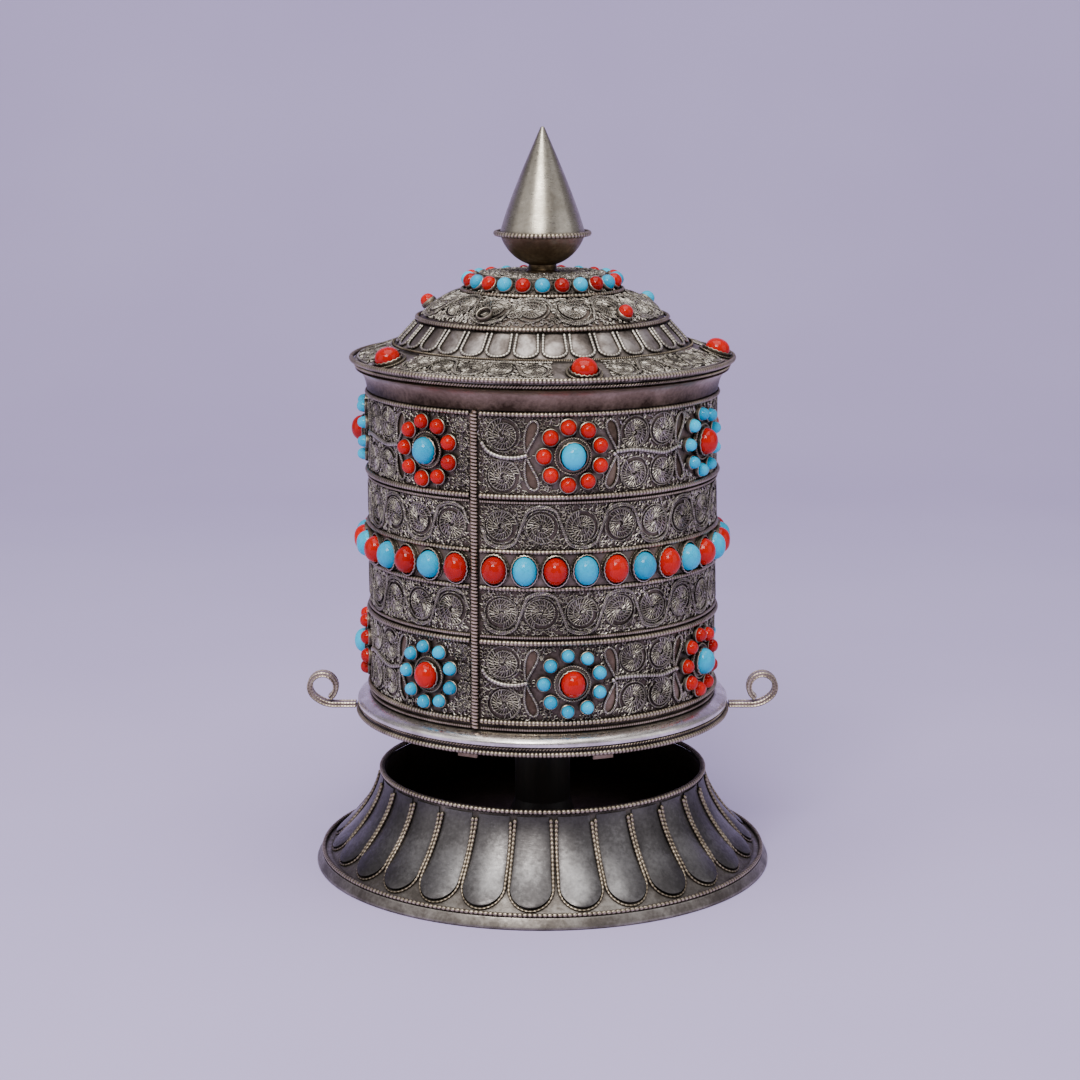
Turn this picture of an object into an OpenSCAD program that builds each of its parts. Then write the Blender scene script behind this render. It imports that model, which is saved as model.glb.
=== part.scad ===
// Table-top prayer wheel: a flared stand, a drum that spins on a fixed spindle, and a lid that lifts off.
// The origin is the centre of the stand's underside, +Z runs up the spindle and -Y is the front.
// Angles around the wheel are measured from the front towards +X.

/* [Stand] */
// Radius of the foot where it meets the table
foot_r = 68.7; // [68:0.1:70]
// Height of the foot band
foot_h = 3.2; // [3:0.1:4]
// Radius of the stand's wall at its open rim
rim_r = 48.6; // [48:0.1:49.4]
// Height of the stand's open rim
rim_z = 27.5; // [26:0.5:28.5]
// Number of lotus petals around the stand
stand_petal_count = 27; // [24:1:27]
// Turn of the first petal from the front
stand_petal_turn = -3; // [-6:1:6]
// Thickness of the stand's sheet metal
stand_sheet = 0.9; // [0.8:0.1:1.2]

/* [Drum] */
// Outer radius of the drum's wall
drum_r = 51; // [50.6:0.1:51.2]
// Height of the underside of the drum's floor above the table
drum_floor_z = 46.6; // [46:0.1:47]
// Thickness of the drum's wall and floor
drum_sheet = 0.8; // [0.6:0.1:1]
// Height of the lowest ring wire above the table
lowest_ring_z = 55.4; // [55:0.1:56]
// Height of a flower band, from wire to wire
flower_band_h = 23.1; // [23:0.1:23.5]
// Height of a scroll band, from wire to wire
scroll_band_h = 14; // [13:0.5:14]
// Height of the belt of oval stones, from wire to wire
stone_band_h = 10.5; // [10.4:0.1:11]
// Turn of the vertical seam from the front
seam_turn = -21.5; // [-30:0.5:-15]
// Number of scrolls around a scroll band
scroll_count = 28; // [20:1:28]

/* [Stones] */
// Number of oval stones around the belt
belt_stone_count = 37; // [31:2:37]
// Width of an oval stone
belt_stone_w = 6.8; // [6:0.1:7]
// Height of an oval stone
belt_stone_h = 8.4; // [7.5:0.1:8.5]
// Number of flowers around a flower band
flower_count = 7; // [5:1:7]
// Turn of the first flower from the front
flower_turn = 9.5; // [5:0.5:15]
// Turn from one flower to the next
flower_step = 52; // [48:0.5:52]
// Number of small stones around a flower
flower_petal_count = 9; // [7:1:9]
// Diameter of a flower's centre stone
flower_centre_d = 7.2; // [6:0.1:7.4]
// Diameter of the small round stones
small_stone_d = 4; // [3.4:0.1:4.1]

/* [Lid] */
// Height of the lid's edge above the table
lid_edge_z = 152.9; // [152.8:0.1:154]
// Outer radius of the lid's edge wire
lid_edge_r = 57; // [56.5:0.1:57.5]
// Number of lotus petals around the lid
lid_petal_count = 32; // [28:1:33]
// Number of stones around the crown
crown_stone_count = 24; // [20:2:24]
// Number of large stones on the lid's flange
flange_stone_count = 5; // [3:1:5]
// Turn of the first large stone on the flange
flange_stone_turn = 13; // [0:1:30]

/* [Finial] */
// Radius of the finial's twisted ring
finial_ring_r = 14.4; // [14:0.1:15]
// Height of the finial's tip above the table
finial_tip_z = 220; // [215:0.5:225]

/* [Bearing] */
// Diameter of the spindle
spindle_d = 5; // [4:0.1:6]
// Radial clearance between the spindle and its bushes
running_gap = 0.05; // [0.03:0.01:0.1]
// Gap between faces that turn against each other
face_gap = 0.12; // [0.1:0.01:0.2]

/* [Hidden] */
$fn = 64;

// Colours of the materials
silver = [0.52, 0.50, 0.48];
dark_silver = [0.34, 0.33, 0.33];
bright_silver = [0.72, 0.71, 0.68];
mauve_metal = [0.40, 0.32, 0.31];
wire_silver = [0.60, 0.55, 0.50];
old_brass = [0.55, 0.47, 0.33];
brass = [0.78, 0.62, 0.30];
steel = [0.55, 0.56, 0.58];
coral = [0.80, 0.13, 0.06];
turquoise = [0.15, 0.62, 0.80];

// A soldered joint is drawn as this hairline gap, so that neighbouring solids never share volume
solder = 0.03;
// Radii of the twisted wires, from the thickest to the thinnest
heavy_wire = 0.8;
ring_wire = 0.7;
thin_wire = 0.5;

// ---- Stand levels ----
floor_plate_z = 8;
floor_plate_t = 1.2;
stand_petal_t = 0.6;
stand_wire_t = 1.3;
flare_foot = [64.4, foot_h];
flare_bend = [rim_r + 1.3, 17];
flare_top = [rim_r, rim_z];
flare_steps = 7;

// ---- Drum levels ----
ring_pair_step = 1.6;
lower_pair_z = lowest_ring_z + flower_band_h;
lower_scroll_z = lower_pair_z + ring_pair_step;
lower_belt_z = lower_scroll_z + scroll_band_h;
upper_belt_z = lower_belt_z + stone_band_h;
upper_scroll_z = upper_belt_z + scroll_band_h;
upper_pair_z = upper_scroll_z + ring_pair_step;
highest_ring_z = upper_pair_z + flower_band_h;
belt_z = (lower_belt_z + upper_belt_z) / 2;
lower_flower_z = (lowest_ring_z + lower_pair_z) / 2;
upper_flower_z = (upper_pair_z + highest_ring_z) / 2;
wall_top_z = highest_ring_z + 2;
drum_inner_r = drum_r - drum_sheet;
// Upper face of the drum's floor
drum_base_z = drum_floor_z + drum_sheet;
seam_gap = 1.6;
seam_wire_r = 1.1;
filigree_t = 0.5;
face_r = drum_r + filigree_t + 2 * solder;

// ---- Mouth and lid levels ----
mouth_top_z = wall_top_z + 5;
mouth_r = 55.1;
mouth_wire_r = 0.6;
lid_sheet = 0.8;
skirt_r = drum_inner_r - 0.3;
skirt_bottom_z = 144.5;
flange_in_r = 43.2;
flange_top_z = lid_edge_z + 4.1;
collar_foot = [flange_in_r - 0.2, flange_top_z + solder];
collar_top = [36.0, 164.6];
dome_top = [22.4, 172.6];
crown_top = [19.2, 176.9];
crown_disc_r = crown_top[0] - 0.8;
crown_wire_r = 0.62;
flange_slope = atan((flange_top_z - lid_edge_z) / (lid_edge_r - 1.6 - flange_in_r));
crown_slope = atan((crown_top[1] - dome_top[1]) / (dome_top[0] - crown_top[0]));

// ---- Belt of oval stones ----
belt_gap_at_seam = 12.6;
belt_step = (360 - belt_gap_at_seam) / (belt_stone_count - 1);

// ---- Bearing levels ----
spindle_r = spindle_d / 2;
bush_bore_r = spindle_r + running_gap;
nut_af = 8;
nut_h = 4;
washer_t = 1;
bush_flange_r = 7;
bush_r = 4.5;
post_top_z = 43;
thrust_top_z = post_top_z + washer_t;
bush_bottom_z = thrust_top_z + face_gap;
bridge_z = 138.6;
bridge_t = 1.6;
bridge_w = 14;
upper_bush_top_z = bridge_z + bridge_t + 1.2;
core_r = 5.6;
roll_r = 42;
wrapper_t = 0.8;

// ---- Finial levels ----
stem_r = 4.1;
stem_foot_z = 177.9;
bowl_centre_z = 192.4;
bowl_r = 12.9;
bowl_top_z = 188.9;
finial_sheet = 0.8;
stud_r = 1.5;

// ---- Helpers ----

// Point at t on the curve that starts at a, bends towards b and ends at c
function bend(a, b, c, t) = (1 - t) * (1 - t) * a + 2 * t * (1 - t) * b + t * t * c;
// Unit vector square to the curve at t, outward and up where the curve runs outward and down
function bend_normal(a, b, c, t) =
    let (d = (1 - t) * (b - a) + t * (c - b))
    [-d[1], d[0]] / norm(d);
// Value at the share t of the way from a to b
function lerp(a, b, t) = a + (b - a) * t;
// List in the opposite order
function reversed(list) = [for (i = [len(list) - 1:-1:0]) list[i]];
// Line that runs along the curve at an offset from it, between two shares of its length
function offset_line(a, b, c, offset, steps, start = 0, end = 1) = [
    for (i = [0:steps])
        let (t = lerp(start, end, i / steps))
        bend(a, b, c, t) + offset * bend_normal(a, b, c, t)
];
// Outline of a layer over the stand's flare, between two offsets from the flare's outer face
function flare_outline(from, to) = concat(
    offset_line(flare_top, flare_bend, flare_foot, from, flare_steps),
    reversed(offset_line(flare_top, flare_bend, flare_foot, to, flare_steps))
);

// Places its children on the wall: local X runs around the wall, Y up it and Z outward
module on_wall(turn, r, z) {
    rotate([0, 0, turn]) translate([0, -r, z]) rotate([90, 0, 0]) children();
}

// Places its children on a surface that faces outward and up by the angle rise
module on_slope(turn, r, z, rise) {
    rotate([0, 0, turn]) translate([0, -r, z]) rotate([90 - rise, 0, 0]) children();
}

// Revolves an outline from one turn to another
module revolve_between(start, end) {
    rotate([0, 0, start - 90]) rotate_extrude(angle = end - start) children();
}

// Full ring of round wire
module wire_ring(r, z, wire_r) {
    rotate_extrude() translate([r, z]) circle(wire_r, $fn = 24);
}

// Ring of round wire that stops short of the drum's seam
module wall_wire(z, wire_r) {
    revolve_between(seam_turn + seam_gap, seam_turn + 360 - seam_gap)
        translate([drum_r + solder + wire_r, z]) circle(wire_r, $fn = 24);
}

// Flat band on the drum's wall that stops short of the seam
module wall_band(z_from, z_to) {
    revolve_between(seam_turn + seam_gap, seam_turn + 360 - seam_gap)
        translate([drum_r + solder, z_from]) square([filigree_t, z_to - z_from]);
}

// Flat washer or plate with a round hole
module plate(r, hole_r, z, h) {
    rotate_extrude() translate([hole_r, z]) square([r - hole_r, h]);
}

// Hexagonal nut with a plain bore
module nut(z, h, af, bore_r) {
    translate([0, 0, z]) difference() {
        cylinder(h = h, r = af / 2 / cos(30), $fn = 6);
        translate([0, 0, -1]) cylinder(h = h + 2, r = bore_r);
    }
}

// Cabochon that stands on local Z = 0: a straight girdle with a round dome
module cabochon(d, girdle, dome) {
    dome_r = (d * d / 4 + dome * dome) / (2 * dome);
    rotate_extrude() intersection() {
        square([d / 2, girdle + dome]);
        translate([0, girdle + dome - dome_r]) circle(dome_r, $fn = 64);
    }
}

// Oval outline with nearly round ends, made of two arcs
module oval(w, h) {
    arc_r = (w * w + h * h) / (4 * w);
    intersection_for (side = [-1, 1]) translate([side * (arc_r - w / 2), 0]) circle(arc_r, $fn = 96);
}

// Oval cabochon whose widest outline lies at local Z = 0; its underside is cut off flat below that
module oval_cabochon(w, h, girdle) {
    arc_r = (w * w + h * h) / (4 * w);
    intersection() {
        rotate([90, 0, 0]) rotate([0, 0, 90]) rotate_extrude() intersection() {
            translate([w / 2 - arc_r, 0]) circle(arc_r, $fn = 96);
            translate([0, -h / 2]) square([w / 2, h]);
        }
        translate([-w, -h, -girdle]) cube([2 * w, 2 * h, w]);
    }
}

// Stepped cup on local Z = 0 that a cabochon of diameter d drops into
module bezel(d, foot, rise) {
    rotate_extrude() polygon([
        [0, 0], [foot, 0], [foot, rise * 0.3], [d / 2 + 0.4, rise * 0.3], [d / 2 + 0.4, rise],
        [d / 2 + solder, rise], [d / 2 + solder, rise * 0.3], [0, rise * 0.3]
    ]);
}

// ---- Stand ----

module stand_shell() {
    color(dark_silver) rotate_extrude() intersection() {
        polygon(flare_outline(-stand_sheet, 0));
        translate([0, foot_h]) square([foot_r, rim_z - foot_h]);
    }
}

// Outline of a petal that widens downward and ends in a round tip, grown by extra all round
module petal_outline(top_w, tip_w, top_z, tip_z, tip_h, extra) {
    steps = 12;
    polygon(concat(
        [[-top_w / 2 - extra, top_z]],
        [for (i = [0:steps])
            [-(tip_w / 2 + extra) * cos(180 * i / steps), tip_z - (tip_h + extra) * sin(180 * i / steps)]],
        [[top_w / 2 + extra, top_z]]
    ));
}

stand_petal_top_w = 9.1;
stand_petal_tip_w = 11.6;
stand_petal_tip_z = 8.6;
stand_petal_tip_h = 4.3;
stand_petal_wire = 0.72;

module stand_petal_outline(extra, rise) {
    petal_outline(stand_petal_top_w, stand_petal_tip_w, rim_z - 0.6 + rise, stand_petal_tip_z,
        stand_petal_tip_h, extra);
}

// Slice of the layer that lies between two heights over the flare, cut to the outline given
module flare_slice(turn, from, to) {
    half_step = 180 / stand_petal_count;
    intersection() {
        revolve_between(turn - half_step, turn + half_step) polygon(flare_outline(from, to));
        on_wall(turn, rim_r - 6, 0) linear_extrude(foot_r - rim_r + 8) children();
    }
}

module stand_petals() {
    color(dark_silver) for (i = [0:stand_petal_count - 1])
        flare_slice(stand_petal_turn + i * 360 / stand_petal_count, solder, stand_petal_t)
            stand_petal_outline(0, 0);
}

module stand_petal_wires() {
    color(wire_silver) for (i = [0:stand_petal_count - 1])
        flare_slice(stand_petal_turn + i * 360 / stand_petal_count, solder, stand_wire_t) difference() {
            stand_petal_outline(stand_petal_wire, 0);
            stand_petal_outline(solder, 1);
        }
}

module foot_ring() {
    lip = 1.2;
    color(silver) rotate_extrude() polygon([
        [foot_r - lip, 0], [foot_r, 0], [foot_r - 1.4, foot_h], [flare_foot[0] - 1.6, foot_h],
        [flare_foot[0] - 1.6, foot_h - 0.8], [foot_r - 2.4, foot_h - 0.8]
    ]);
}

module foot_bead_wire() {
    wire_r = 0.65;
    color(wire_silver) wire_ring(foot_r - 1.45 - wire_r, foot_h + wire_r, wire_r);
}

module stand_rim_wire() {
    color(wire_silver) wire_ring(rim_r - stand_sheet / 2 + 0.6, rim_z + heavy_wire + solder, heavy_wire);
}

module floor_plate() {
    // The plate's edge meets the inside of the flare
    edge_r = 57.4;
    color(dark_silver) plate(edge_r, bush_bore_r, floor_plate_z, floor_plate_t);
}

module spindle() {
    bottom_z = 2.2;
    chamfer = 0.5;
    top_z = upper_bush_top_z + face_gap + washer_t + nut_h + 1;
    color(steel) rotate_extrude() polygon([
        [0, bottom_z], [spindle_r - chamfer, bottom_z], [spindle_r, bottom_z + chamfer],
        [spindle_r, top_z - chamfer], [spindle_r - chamfer, top_z], [0, top_z]
    ]);
}

module bearing_post() {
    base_z = floor_plate_z + floor_plate_t;
    color([0.16, 0.13, 0.12]) rotate_extrude() polygon([
        [bush_bore_r, base_z], [13, base_z], [13, base_z + 2], [10, base_z + 4], [8.4, base_z + 9],
        [8.4, post_top_z - 4], [9.4, post_top_z - 2.5], [9.4, post_top_z], [bush_bore_r, post_top_z]
    ]);
}

module thrust_washer() {
    color(brass) plate(bush_flange_r, bush_bore_r, post_top_z, washer_t);
}

module spindle_washers() {
    color(steel) {
        plate(6, bush_bore_r, floor_plate_z - washer_t, washer_t);
        plate(5.5, bush_bore_r, upper_bush_top_z + face_gap, washer_t);
    }
}

module spindle_nuts() {
    color(steel) {
        nut(floor_plate_z - washer_t - nut_h, nut_h, nut_af, bush_bore_r);
        nut(upper_bush_top_z + face_gap + washer_t, nut_h, nut_af, bush_bore_r);
    }
}

// ---- Drum ----

module drum_wall() {
    color(silver) plate(drum_r, drum_inner_r, drum_base_z, wall_top_z - drum_base_z);
}

module drum_floor() {
    color(dark_silver) plate(drum_r, bush_r + solder, drum_floor_z, drum_sheet);
}

module floor_tabs() {
    tab_count = 8;
    tab_w = 6;
    tab_l = 5;
    tab_t = 0.7;
    // Height of the lug that each tab turns down at its outer end
    tab_drop = 2.6;
    first_turn = 20;
    color(bright_silver) for (i = [0:tab_count - 1])
        rotate([0, 0, first_turn + i * 360 / tab_count])
            translate([-tab_w / 2, -drum_r + 0.4, drum_floor_z - solder - tab_t]) {
                cube([tab_w, tab_l, tab_t]);
                translate([0, 0, tab_t - tab_drop]) cube([tab_w, tab_t, tab_drop]);
            }
}

module drum_base_flange() {
    // A round moulding over a shallow cove, in one ring of sheet
    moulding_top = [drum_r + 1.1, lowest_ring_z - 2.9];
    moulding_out = [56.4, 51.6];
    moulding_foot = [55.6, 49.4];
    steps = 6;
    color(bright_silver) rotate_extrude() polygon(concat(
        [[drum_r + solder, moulding_top[1]]],
        [for (i = [0:steps]) bend(moulding_top, moulding_out, moulding_foot, i / steps)],
        [[54.0, 49.3], [53.6, 48.6], [54.0, drum_floor_z - 0.1], [drum_r + solder, drum_floor_z - 0.1]]
    ));
}

module base_flange_wires() {
    color(wire_silver) {
        wire_ring(54.9, 48.7, 0.6);
        wire_ring(55.45, drum_floor_z + 0.6, 0.8);
    }
}

module drum_mouth_cove() {
    foot = [drum_r + 0.8, wall_top_z - 1];
    bend_at = [drum_r + 1.2, mouth_top_z - 1.2];
    edge = [mouth_r, mouth_top_z];
    steps = 6;
    color(mauve_metal) rotate_extrude() polygon(concat(
        [[drum_r + solder, wall_top_z - 1]],
        [for (i = [0:steps]) bend(foot, bend_at, edge, i / steps)],
        [for (i = [steps:-1:0]) bend(foot, bend_at, edge, i / steps) + [-0.75, 0.5] * i / steps
            + [-0.77, 0.9] * (1 - i / steps)]
    ));
}

module ring_wires() {
    color(wire_silver) {
        wall_wire(highest_ring_z, ring_wire);
        wall_wire(upper_pair_z, heavy_wire);
        wall_wire(upper_scroll_z, thin_wire);
        wall_wire(upper_belt_z, ring_wire);
        wall_wire(lower_belt_z, ring_wire);
        wall_wire(lower_scroll_z, thin_wire);
        wall_wire(lower_pair_z, heavy_wire);
        wall_wire(lowest_ring_z, heavy_wire);
        wall_wire(lowest_ring_z - 2.1, thin_wire);
        wire_ring(mouth_r - 0.2, mouth_top_z + 0.5 + mouth_wire_r + solder, mouth_wire_r);
    }
}

module seam_wire() {
    seam_bottom_z = lowest_ring_z - 2.4;
    turns = 56;
    pitch = (highest_ring_z + 0.9 - seam_bottom_z) / turns;
    // Coiled wire along the seam, drawn as a rod with one bulge for each turn
    on_wall(seam_turn, drum_r + seam_wire_r + solder, seam_bottom_z) rotate([-90, 0, 0])
        color(wire_silver) rotate_extrude() polygon(concat(
            [[0, 0]],
            [for (i = [0:turns - 1]) each
                [[seam_wire_r - 0.25, i * pitch], [seam_wire_r, (i + 0.5) * pitch]]],
            [[seam_wire_r - 0.25, turns * pitch], [0, turns * pitch]]
        ));
}

// Flat coil of wire that lies on the wall
module wall_coil(turn, z, r) {
    coil_h = 0.5;
    coil_w = 0.5;
    inner_share = 0.45;
    on_wall(turn, face_r, z) for (coil_r = [r, r * inner_share]) difference() {
        cylinder(h = coil_h, r = coil_r, $fn = 32);
        translate([0, 0, -1]) cylinder(h = coil_h + 2, r = coil_r - coil_w, $fn = 32);
    }
}

module scroll_filigree(z_from, z_to) {
    coil_r = scroll_band_h / 2 - 1.8;
    // Turn from the seam to the first scroll, which leaves room for its whole width
    first_turn = 8;
    step = (360 - 2 * first_turn) / (scroll_count - 1);
    wall_band(z_from, z_to);
    for (i = [0:scroll_count - 1])
        wall_coil(seam_turn + first_turn + i * step, (z_from + z_to) / 2, coil_r);
}

module flower_filigree(z_from, z_to) {
    coil_r = 4.4;
    pair_turn = 5.3;
    seam_coil_turn = 8;
    rise = (z_to - z_from) / 4 + 0.2;
    wall_band(z_from, z_to);
    for (level = [-1, 1]) {
        z = (z_from + z_to) / 2 + level * rise;
        wall_coil(seam_turn + seam_coil_turn, z, coil_r);
        for (side = [-1, 1], i = [0:flower_count - 2])
            wall_coil(flower_turn + (i + 0.5) * flower_step + side * pair_turn, z, coil_r);
    }
}

module upper_flower_filigree() {
    color(silver) flower_filigree(upper_pair_z + 0.9, highest_ring_z - 0.8);
}

module upper_scroll_filigree() {
    color(silver) scroll_filigree(upper_belt_z + 0.8, upper_scroll_z - 0.6);
}

module stone_band_strip() {
    color(dark_silver) wall_band(lower_belt_z + 0.8, upper_belt_z - 0.8);
}

module lower_scroll_filigree() {
    color(silver) scroll_filigree(lower_scroll_z + 0.6, lower_belt_z - 0.8);
}

module lower_flower_filigree() {
    color(silver) flower_filigree(lowest_ring_z + 0.9, lower_pair_z - 0.9);
}

// ---- Belt of oval stones ----

function belt_turn(i) = seam_turn + belt_gap_at_seam / 2 + i * belt_step;

module stone_band_bezels() {
    wall = 0.35;
    cup_h = 1.5;
    cup_floor = 0.4;
    color(wire_silver) for (i = [0:belt_stone_count - 1]) on_wall(belt_turn(i), face_r, belt_z) difference() {
        linear_extrude(cup_h) oval(belt_stone_w + 2 * wall, belt_stone_h + 2 * wall);
        translate([0, 0, cup_floor]) linear_extrude(cup_h)
            oval(belt_stone_w + 2 * solder, belt_stone_h + 2 * solder);
    }
}

module belt_stone(i) {
    girdle = 0.5;
    on_wall(belt_turn(i), face_r + 0.43 + girdle, belt_z) oval_cabochon(belt_stone_w, belt_stone_h, girdle);
}

module stone_band_corals() {
    color(coral) for (i = [0:2:belt_stone_count - 1]) belt_stone(i);
}

module stone_band_turquoises() {
    color(turquoise) for (i = [1:2:belt_stone_count - 1]) belt_stone(i);
}

// ---- Flowers ----

flower_petal_ring_r = 8.2;
flower_petal_phase = 20;
centre_cup_h = 2;
small_cup_h = 1.3;

// Places its children at the centre of flower i of a band
module at_flower(i, z) {
    on_wall(flower_turn + i * flower_step, face_r, z) children();
}

// Places its children at each small stone of flower i of a band
module at_flower_petals(i, z) {
    for (k = [0:flower_petal_count - 1]) {
        phase = flower_petal_phase + k * 360 / flower_petal_count;
        turn = atan(flower_petal_ring_r * cos(phase) / face_r);
        on_wall(flower_turn + i * flower_step + turn, face_r, z + flower_petal_ring_r * sin(phase))
            children();
    }
}

module rosette_bezels() {
    color(wire_silver) for (i = [0:flower_count - 1], z = [lower_flower_z, upper_flower_z]) {
        at_flower(i, z) bezel(flower_centre_d, 5.4, centre_cup_h);
        at_flower_petals(i, z) bezel(small_stone_d, small_stone_d / 2 + 0.4, small_cup_h);
    }
}

module flower_centres(first, z) {
    for (i = [first:2:flower_count - 1]) at_flower(i, z)
        translate([0, 0, centre_cup_h * 0.3 + solder]) cabochon(flower_centre_d, 1.3, 2.4);
}

module flower_petals(first, z) {
    for (i = [first:2:flower_count - 1]) at_flower_petals(i, z)
        translate([0, 0, small_cup_h * 0.3 + solder]) cabochon(small_stone_d, 0.9, 1.6);
}

// Flowers alternate: an even one of the upper band has a turquoise centre and coral petals
module rosette_corals() {
    color(coral) {
        flower_centres(1, upper_flower_z);
        flower_petals(0, upper_flower_z);
        flower_centres(0, lower_flower_z);
        flower_petals(1, lower_flower_z);
    }
}

module rosette_turquoises() {
    color(turquoise) {
        flower_centres(0, upper_flower_z);
        flower_petals(1, upper_flower_z);
        flower_centres(1, lower_flower_z);
        flower_petals(0, lower_flower_z);
    }
}

// ---- Curl handles ----

curl_centre = [66.4, 52.7];
curl_r = 3.95;
curl_t = 1.7;
curl_w = 3.6;
curl_lead_r = 9;
curl_join = 315;
curl_end = 600;

// Point at angle a on the curl, at the given offset outside its centre line
function curl_point(a, offset) = curl_centre + (curl_r + offset) * [cos(a), sin(a)];
// Centre of the wider bend that leads into the curl
function curl_lead_centre() = curl_centre + (curl_r - curl_lead_r) * [cos(curl_join), sin(curl_join)];
function curl_lead_point(a, offset) = curl_lead_centre() + (curl_lead_r + offset) * [cos(a), sin(a)];
// One edge of the strip, from the flange to the curl's tip
function curl_edge(offset) = concat(
    [[56.35, curl_lead_point(270, offset)[1]]],
    [for (a = [270:9:curl_join - 9]) curl_lead_point(a, offset)],
    [for (a = [curl_join:15:curl_end]) curl_point(a, offset)]
);

module curl_handle() {
    color(old_brass) translate([0, curl_w / 2, 0]) rotate([90, 0, 0]) linear_extrude(curl_w)
        polygon(concat(curl_edge(curl_t / 2), reversed(curl_edge(-curl_t / 2))));
}

module left_curl_handle() {
    mirror([1, 0, 0]) curl_handle();
}

module right_curl_handle() {
    curl_handle();
}

// ---- Inside the drum ----

module lower_bush() {
    color(brass) rotate_extrude() polygon([
        [bush_bore_r, bush_bottom_z], [bush_flange_r, bush_bottom_z], [bush_flange_r, drum_floor_z],
        [bush_r, drum_floor_z], [bush_r, drum_floor_z + 6], [bush_bore_r, drum_floor_z + 6]
    ]);
}

module upper_bush() {
    color(brass) rotate_extrude() polygon([
        [bush_bore_r, bridge_z - 4], [bush_r, bridge_z - 4], [bush_r, bridge_z + bridge_t],
        [bush_flange_r - 1, bridge_z + bridge_t], [bush_flange_r - 1, upper_bush_top_z],
        [bush_bore_r, upper_bush_top_z]
    ]);
}

module core_tube() {
    color(old_brass) plate(core_r, bush_r + solder, drum_base_z, bridge_z - drum_base_z);
}

module mantra_roll() {
    color([0.86, 0.80, 0.66]) plate(roll_r, core_r + solder, drum_base_z, bridge_z - drum_floor_z - 3);
}

module roll_wrapper() {
    color([0.80, 0.55, 0.15])
        plate(roll_r + wrapper_t, roll_r + solder, drum_base_z + 1, bridge_z - drum_floor_z - 5);
}

module roll_ties() {
    tie_r = 0.8;
    color([0.60, 0.12, 0.10]) for (z = [72, 95, 118])
        wire_ring(roll_r + wrapper_t + tie_r + solder, z, tie_r);
}

module bridge_bar() {
    length = 2 * sqrt(pow(drum_inner_r, 2) - pow(bridge_w / 2, 2)) - 0.1;
    end_h = 4;
    color(steel) difference() {
        union() {
            translate([-length / 2, -bridge_w / 2, bridge_z]) cube([length, bridge_w, bridge_t]);
            for (side = [-1, 1])
                translate([side * (length - bridge_t) / 2 - bridge_t / 2, -bridge_w / 2, bridge_z])
                    cube([bridge_t, bridge_w, end_h]);
        }
        translate([0, 0, bridge_z - 1]) cylinder(h = bridge_t + 2, r = bush_r + solder);
    }
}

// ---- Lid ----

module lid_flange() {
    edge_r = lid_edge_r - 1.6;
    color(silver) rotate_extrude() polygon([
        [edge_r, lid_edge_z], [flange_in_r, flange_top_z], [flange_in_r - 2.2, flange_top_z],
        [flange_in_r - 2.2, flange_top_z - lid_sheet], [edge_r, lid_edge_z - lid_sheet]
    ]);
}

module lid_skirt() {
    // The skirt stops under the sloping flange
    top_z = flange_top_z - lid_sheet - (skirt_r - flange_in_r + 2.2) * tan(flange_slope);
    color(dark_silver) plate(skirt_r, skirt_r - lid_sheet, skirt_bottom_z, top_z - skirt_bottom_z);
}

module lid_edge_wire() {
    color(wire_silver) wire_ring(lid_edge_r - heavy_wire, lid_edge_z + 0.35, heavy_wire - solder);
}

module lid_flange_filigree() {
    patch_half = 16;
    patch_h = 0.45;
    inner = [flange_in_r + 2.2, flange_top_z - 2.2 * tan(flange_slope) + solder];
    outer = [lid_edge_r - 3.4, lid_edge_z + 1.8 * tan(flange_slope) + solder];
    color(silver) for (i = [0:flange_stone_count - 1]) {
        middle = flange_stone_turn + (i + 0.5) * 360 / flange_stone_count;
        revolve_between(middle - patch_half, middle + patch_half)
            polygon([inner, outer, outer + [0, patch_h], inner + [0, patch_h]]);
    }
}

module lid_petal_collar() {
    color(dark_silver) rotate_extrude() polygon([
        collar_foot, collar_top, collar_top - [1.2, 0], collar_foot - [1.4, 0]
    ]);
}

lid_petal_turn = 4.8;

module lid_petal_wires() {
    half_step = 180 / lid_petal_count;
    foot = lerp(collar_foot, collar_top, 0.1);
    top = lerp(collar_foot, collar_top, 0.83);
    wire_w = 0.6;
    proud = [0.75, 0.6];
    color(wire_silver) for (i = [0:lid_petal_count - 1]) {
        turn = lid_petal_turn + i * 360 / lid_petal_count;
        intersection() {
            revolve_between(turn - half_step, turn + half_step) polygon([
                foot + [solder, 0], foot + proud, top + proud, top + [solder, 0]
            ]);
            on_wall(turn, collar_top[0] - 3, 0) linear_extrude(12) difference() {
                petal_outline(5.4, 6.4, top[1], foot[1] + 2.9, 2.2, wire_w);
                petal_outline(5.4, 6.4, top[1] + 1, foot[1] + 2.9, 2.2, 0);
            }
        }
    }
}

module lid_ring_wires() {
    color(wire_silver) {
        wire_ring(flange_in_r + 0.75, flange_top_z + thin_wire - 0.1, thin_wire - 0.1);
        wire_ring(collar_top[0] + ring_wire + 0.1, collar_top[1] + 0.35, ring_wire);
        wire_ring(dome_top[0] + 1.15, dome_top[1] + 0.4, crown_wire_r);
    }
}

dome_bend = [32.2, 169.8];
dome_steps = 5;
dome_filigree_lift = 0.12;
dome_filigree_t = 0.5;

module lid_dome() {
    outer = [for (t = [0:1 / dome_steps:1.001]) bend(dome_top, dome_bend, collar_top, t) + [0, solder]];
    color(dark_silver) rotate_extrude()
        polygon(concat(outer, [for (point = reversed(outer)) point - [1.2, 0]]));
}

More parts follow.
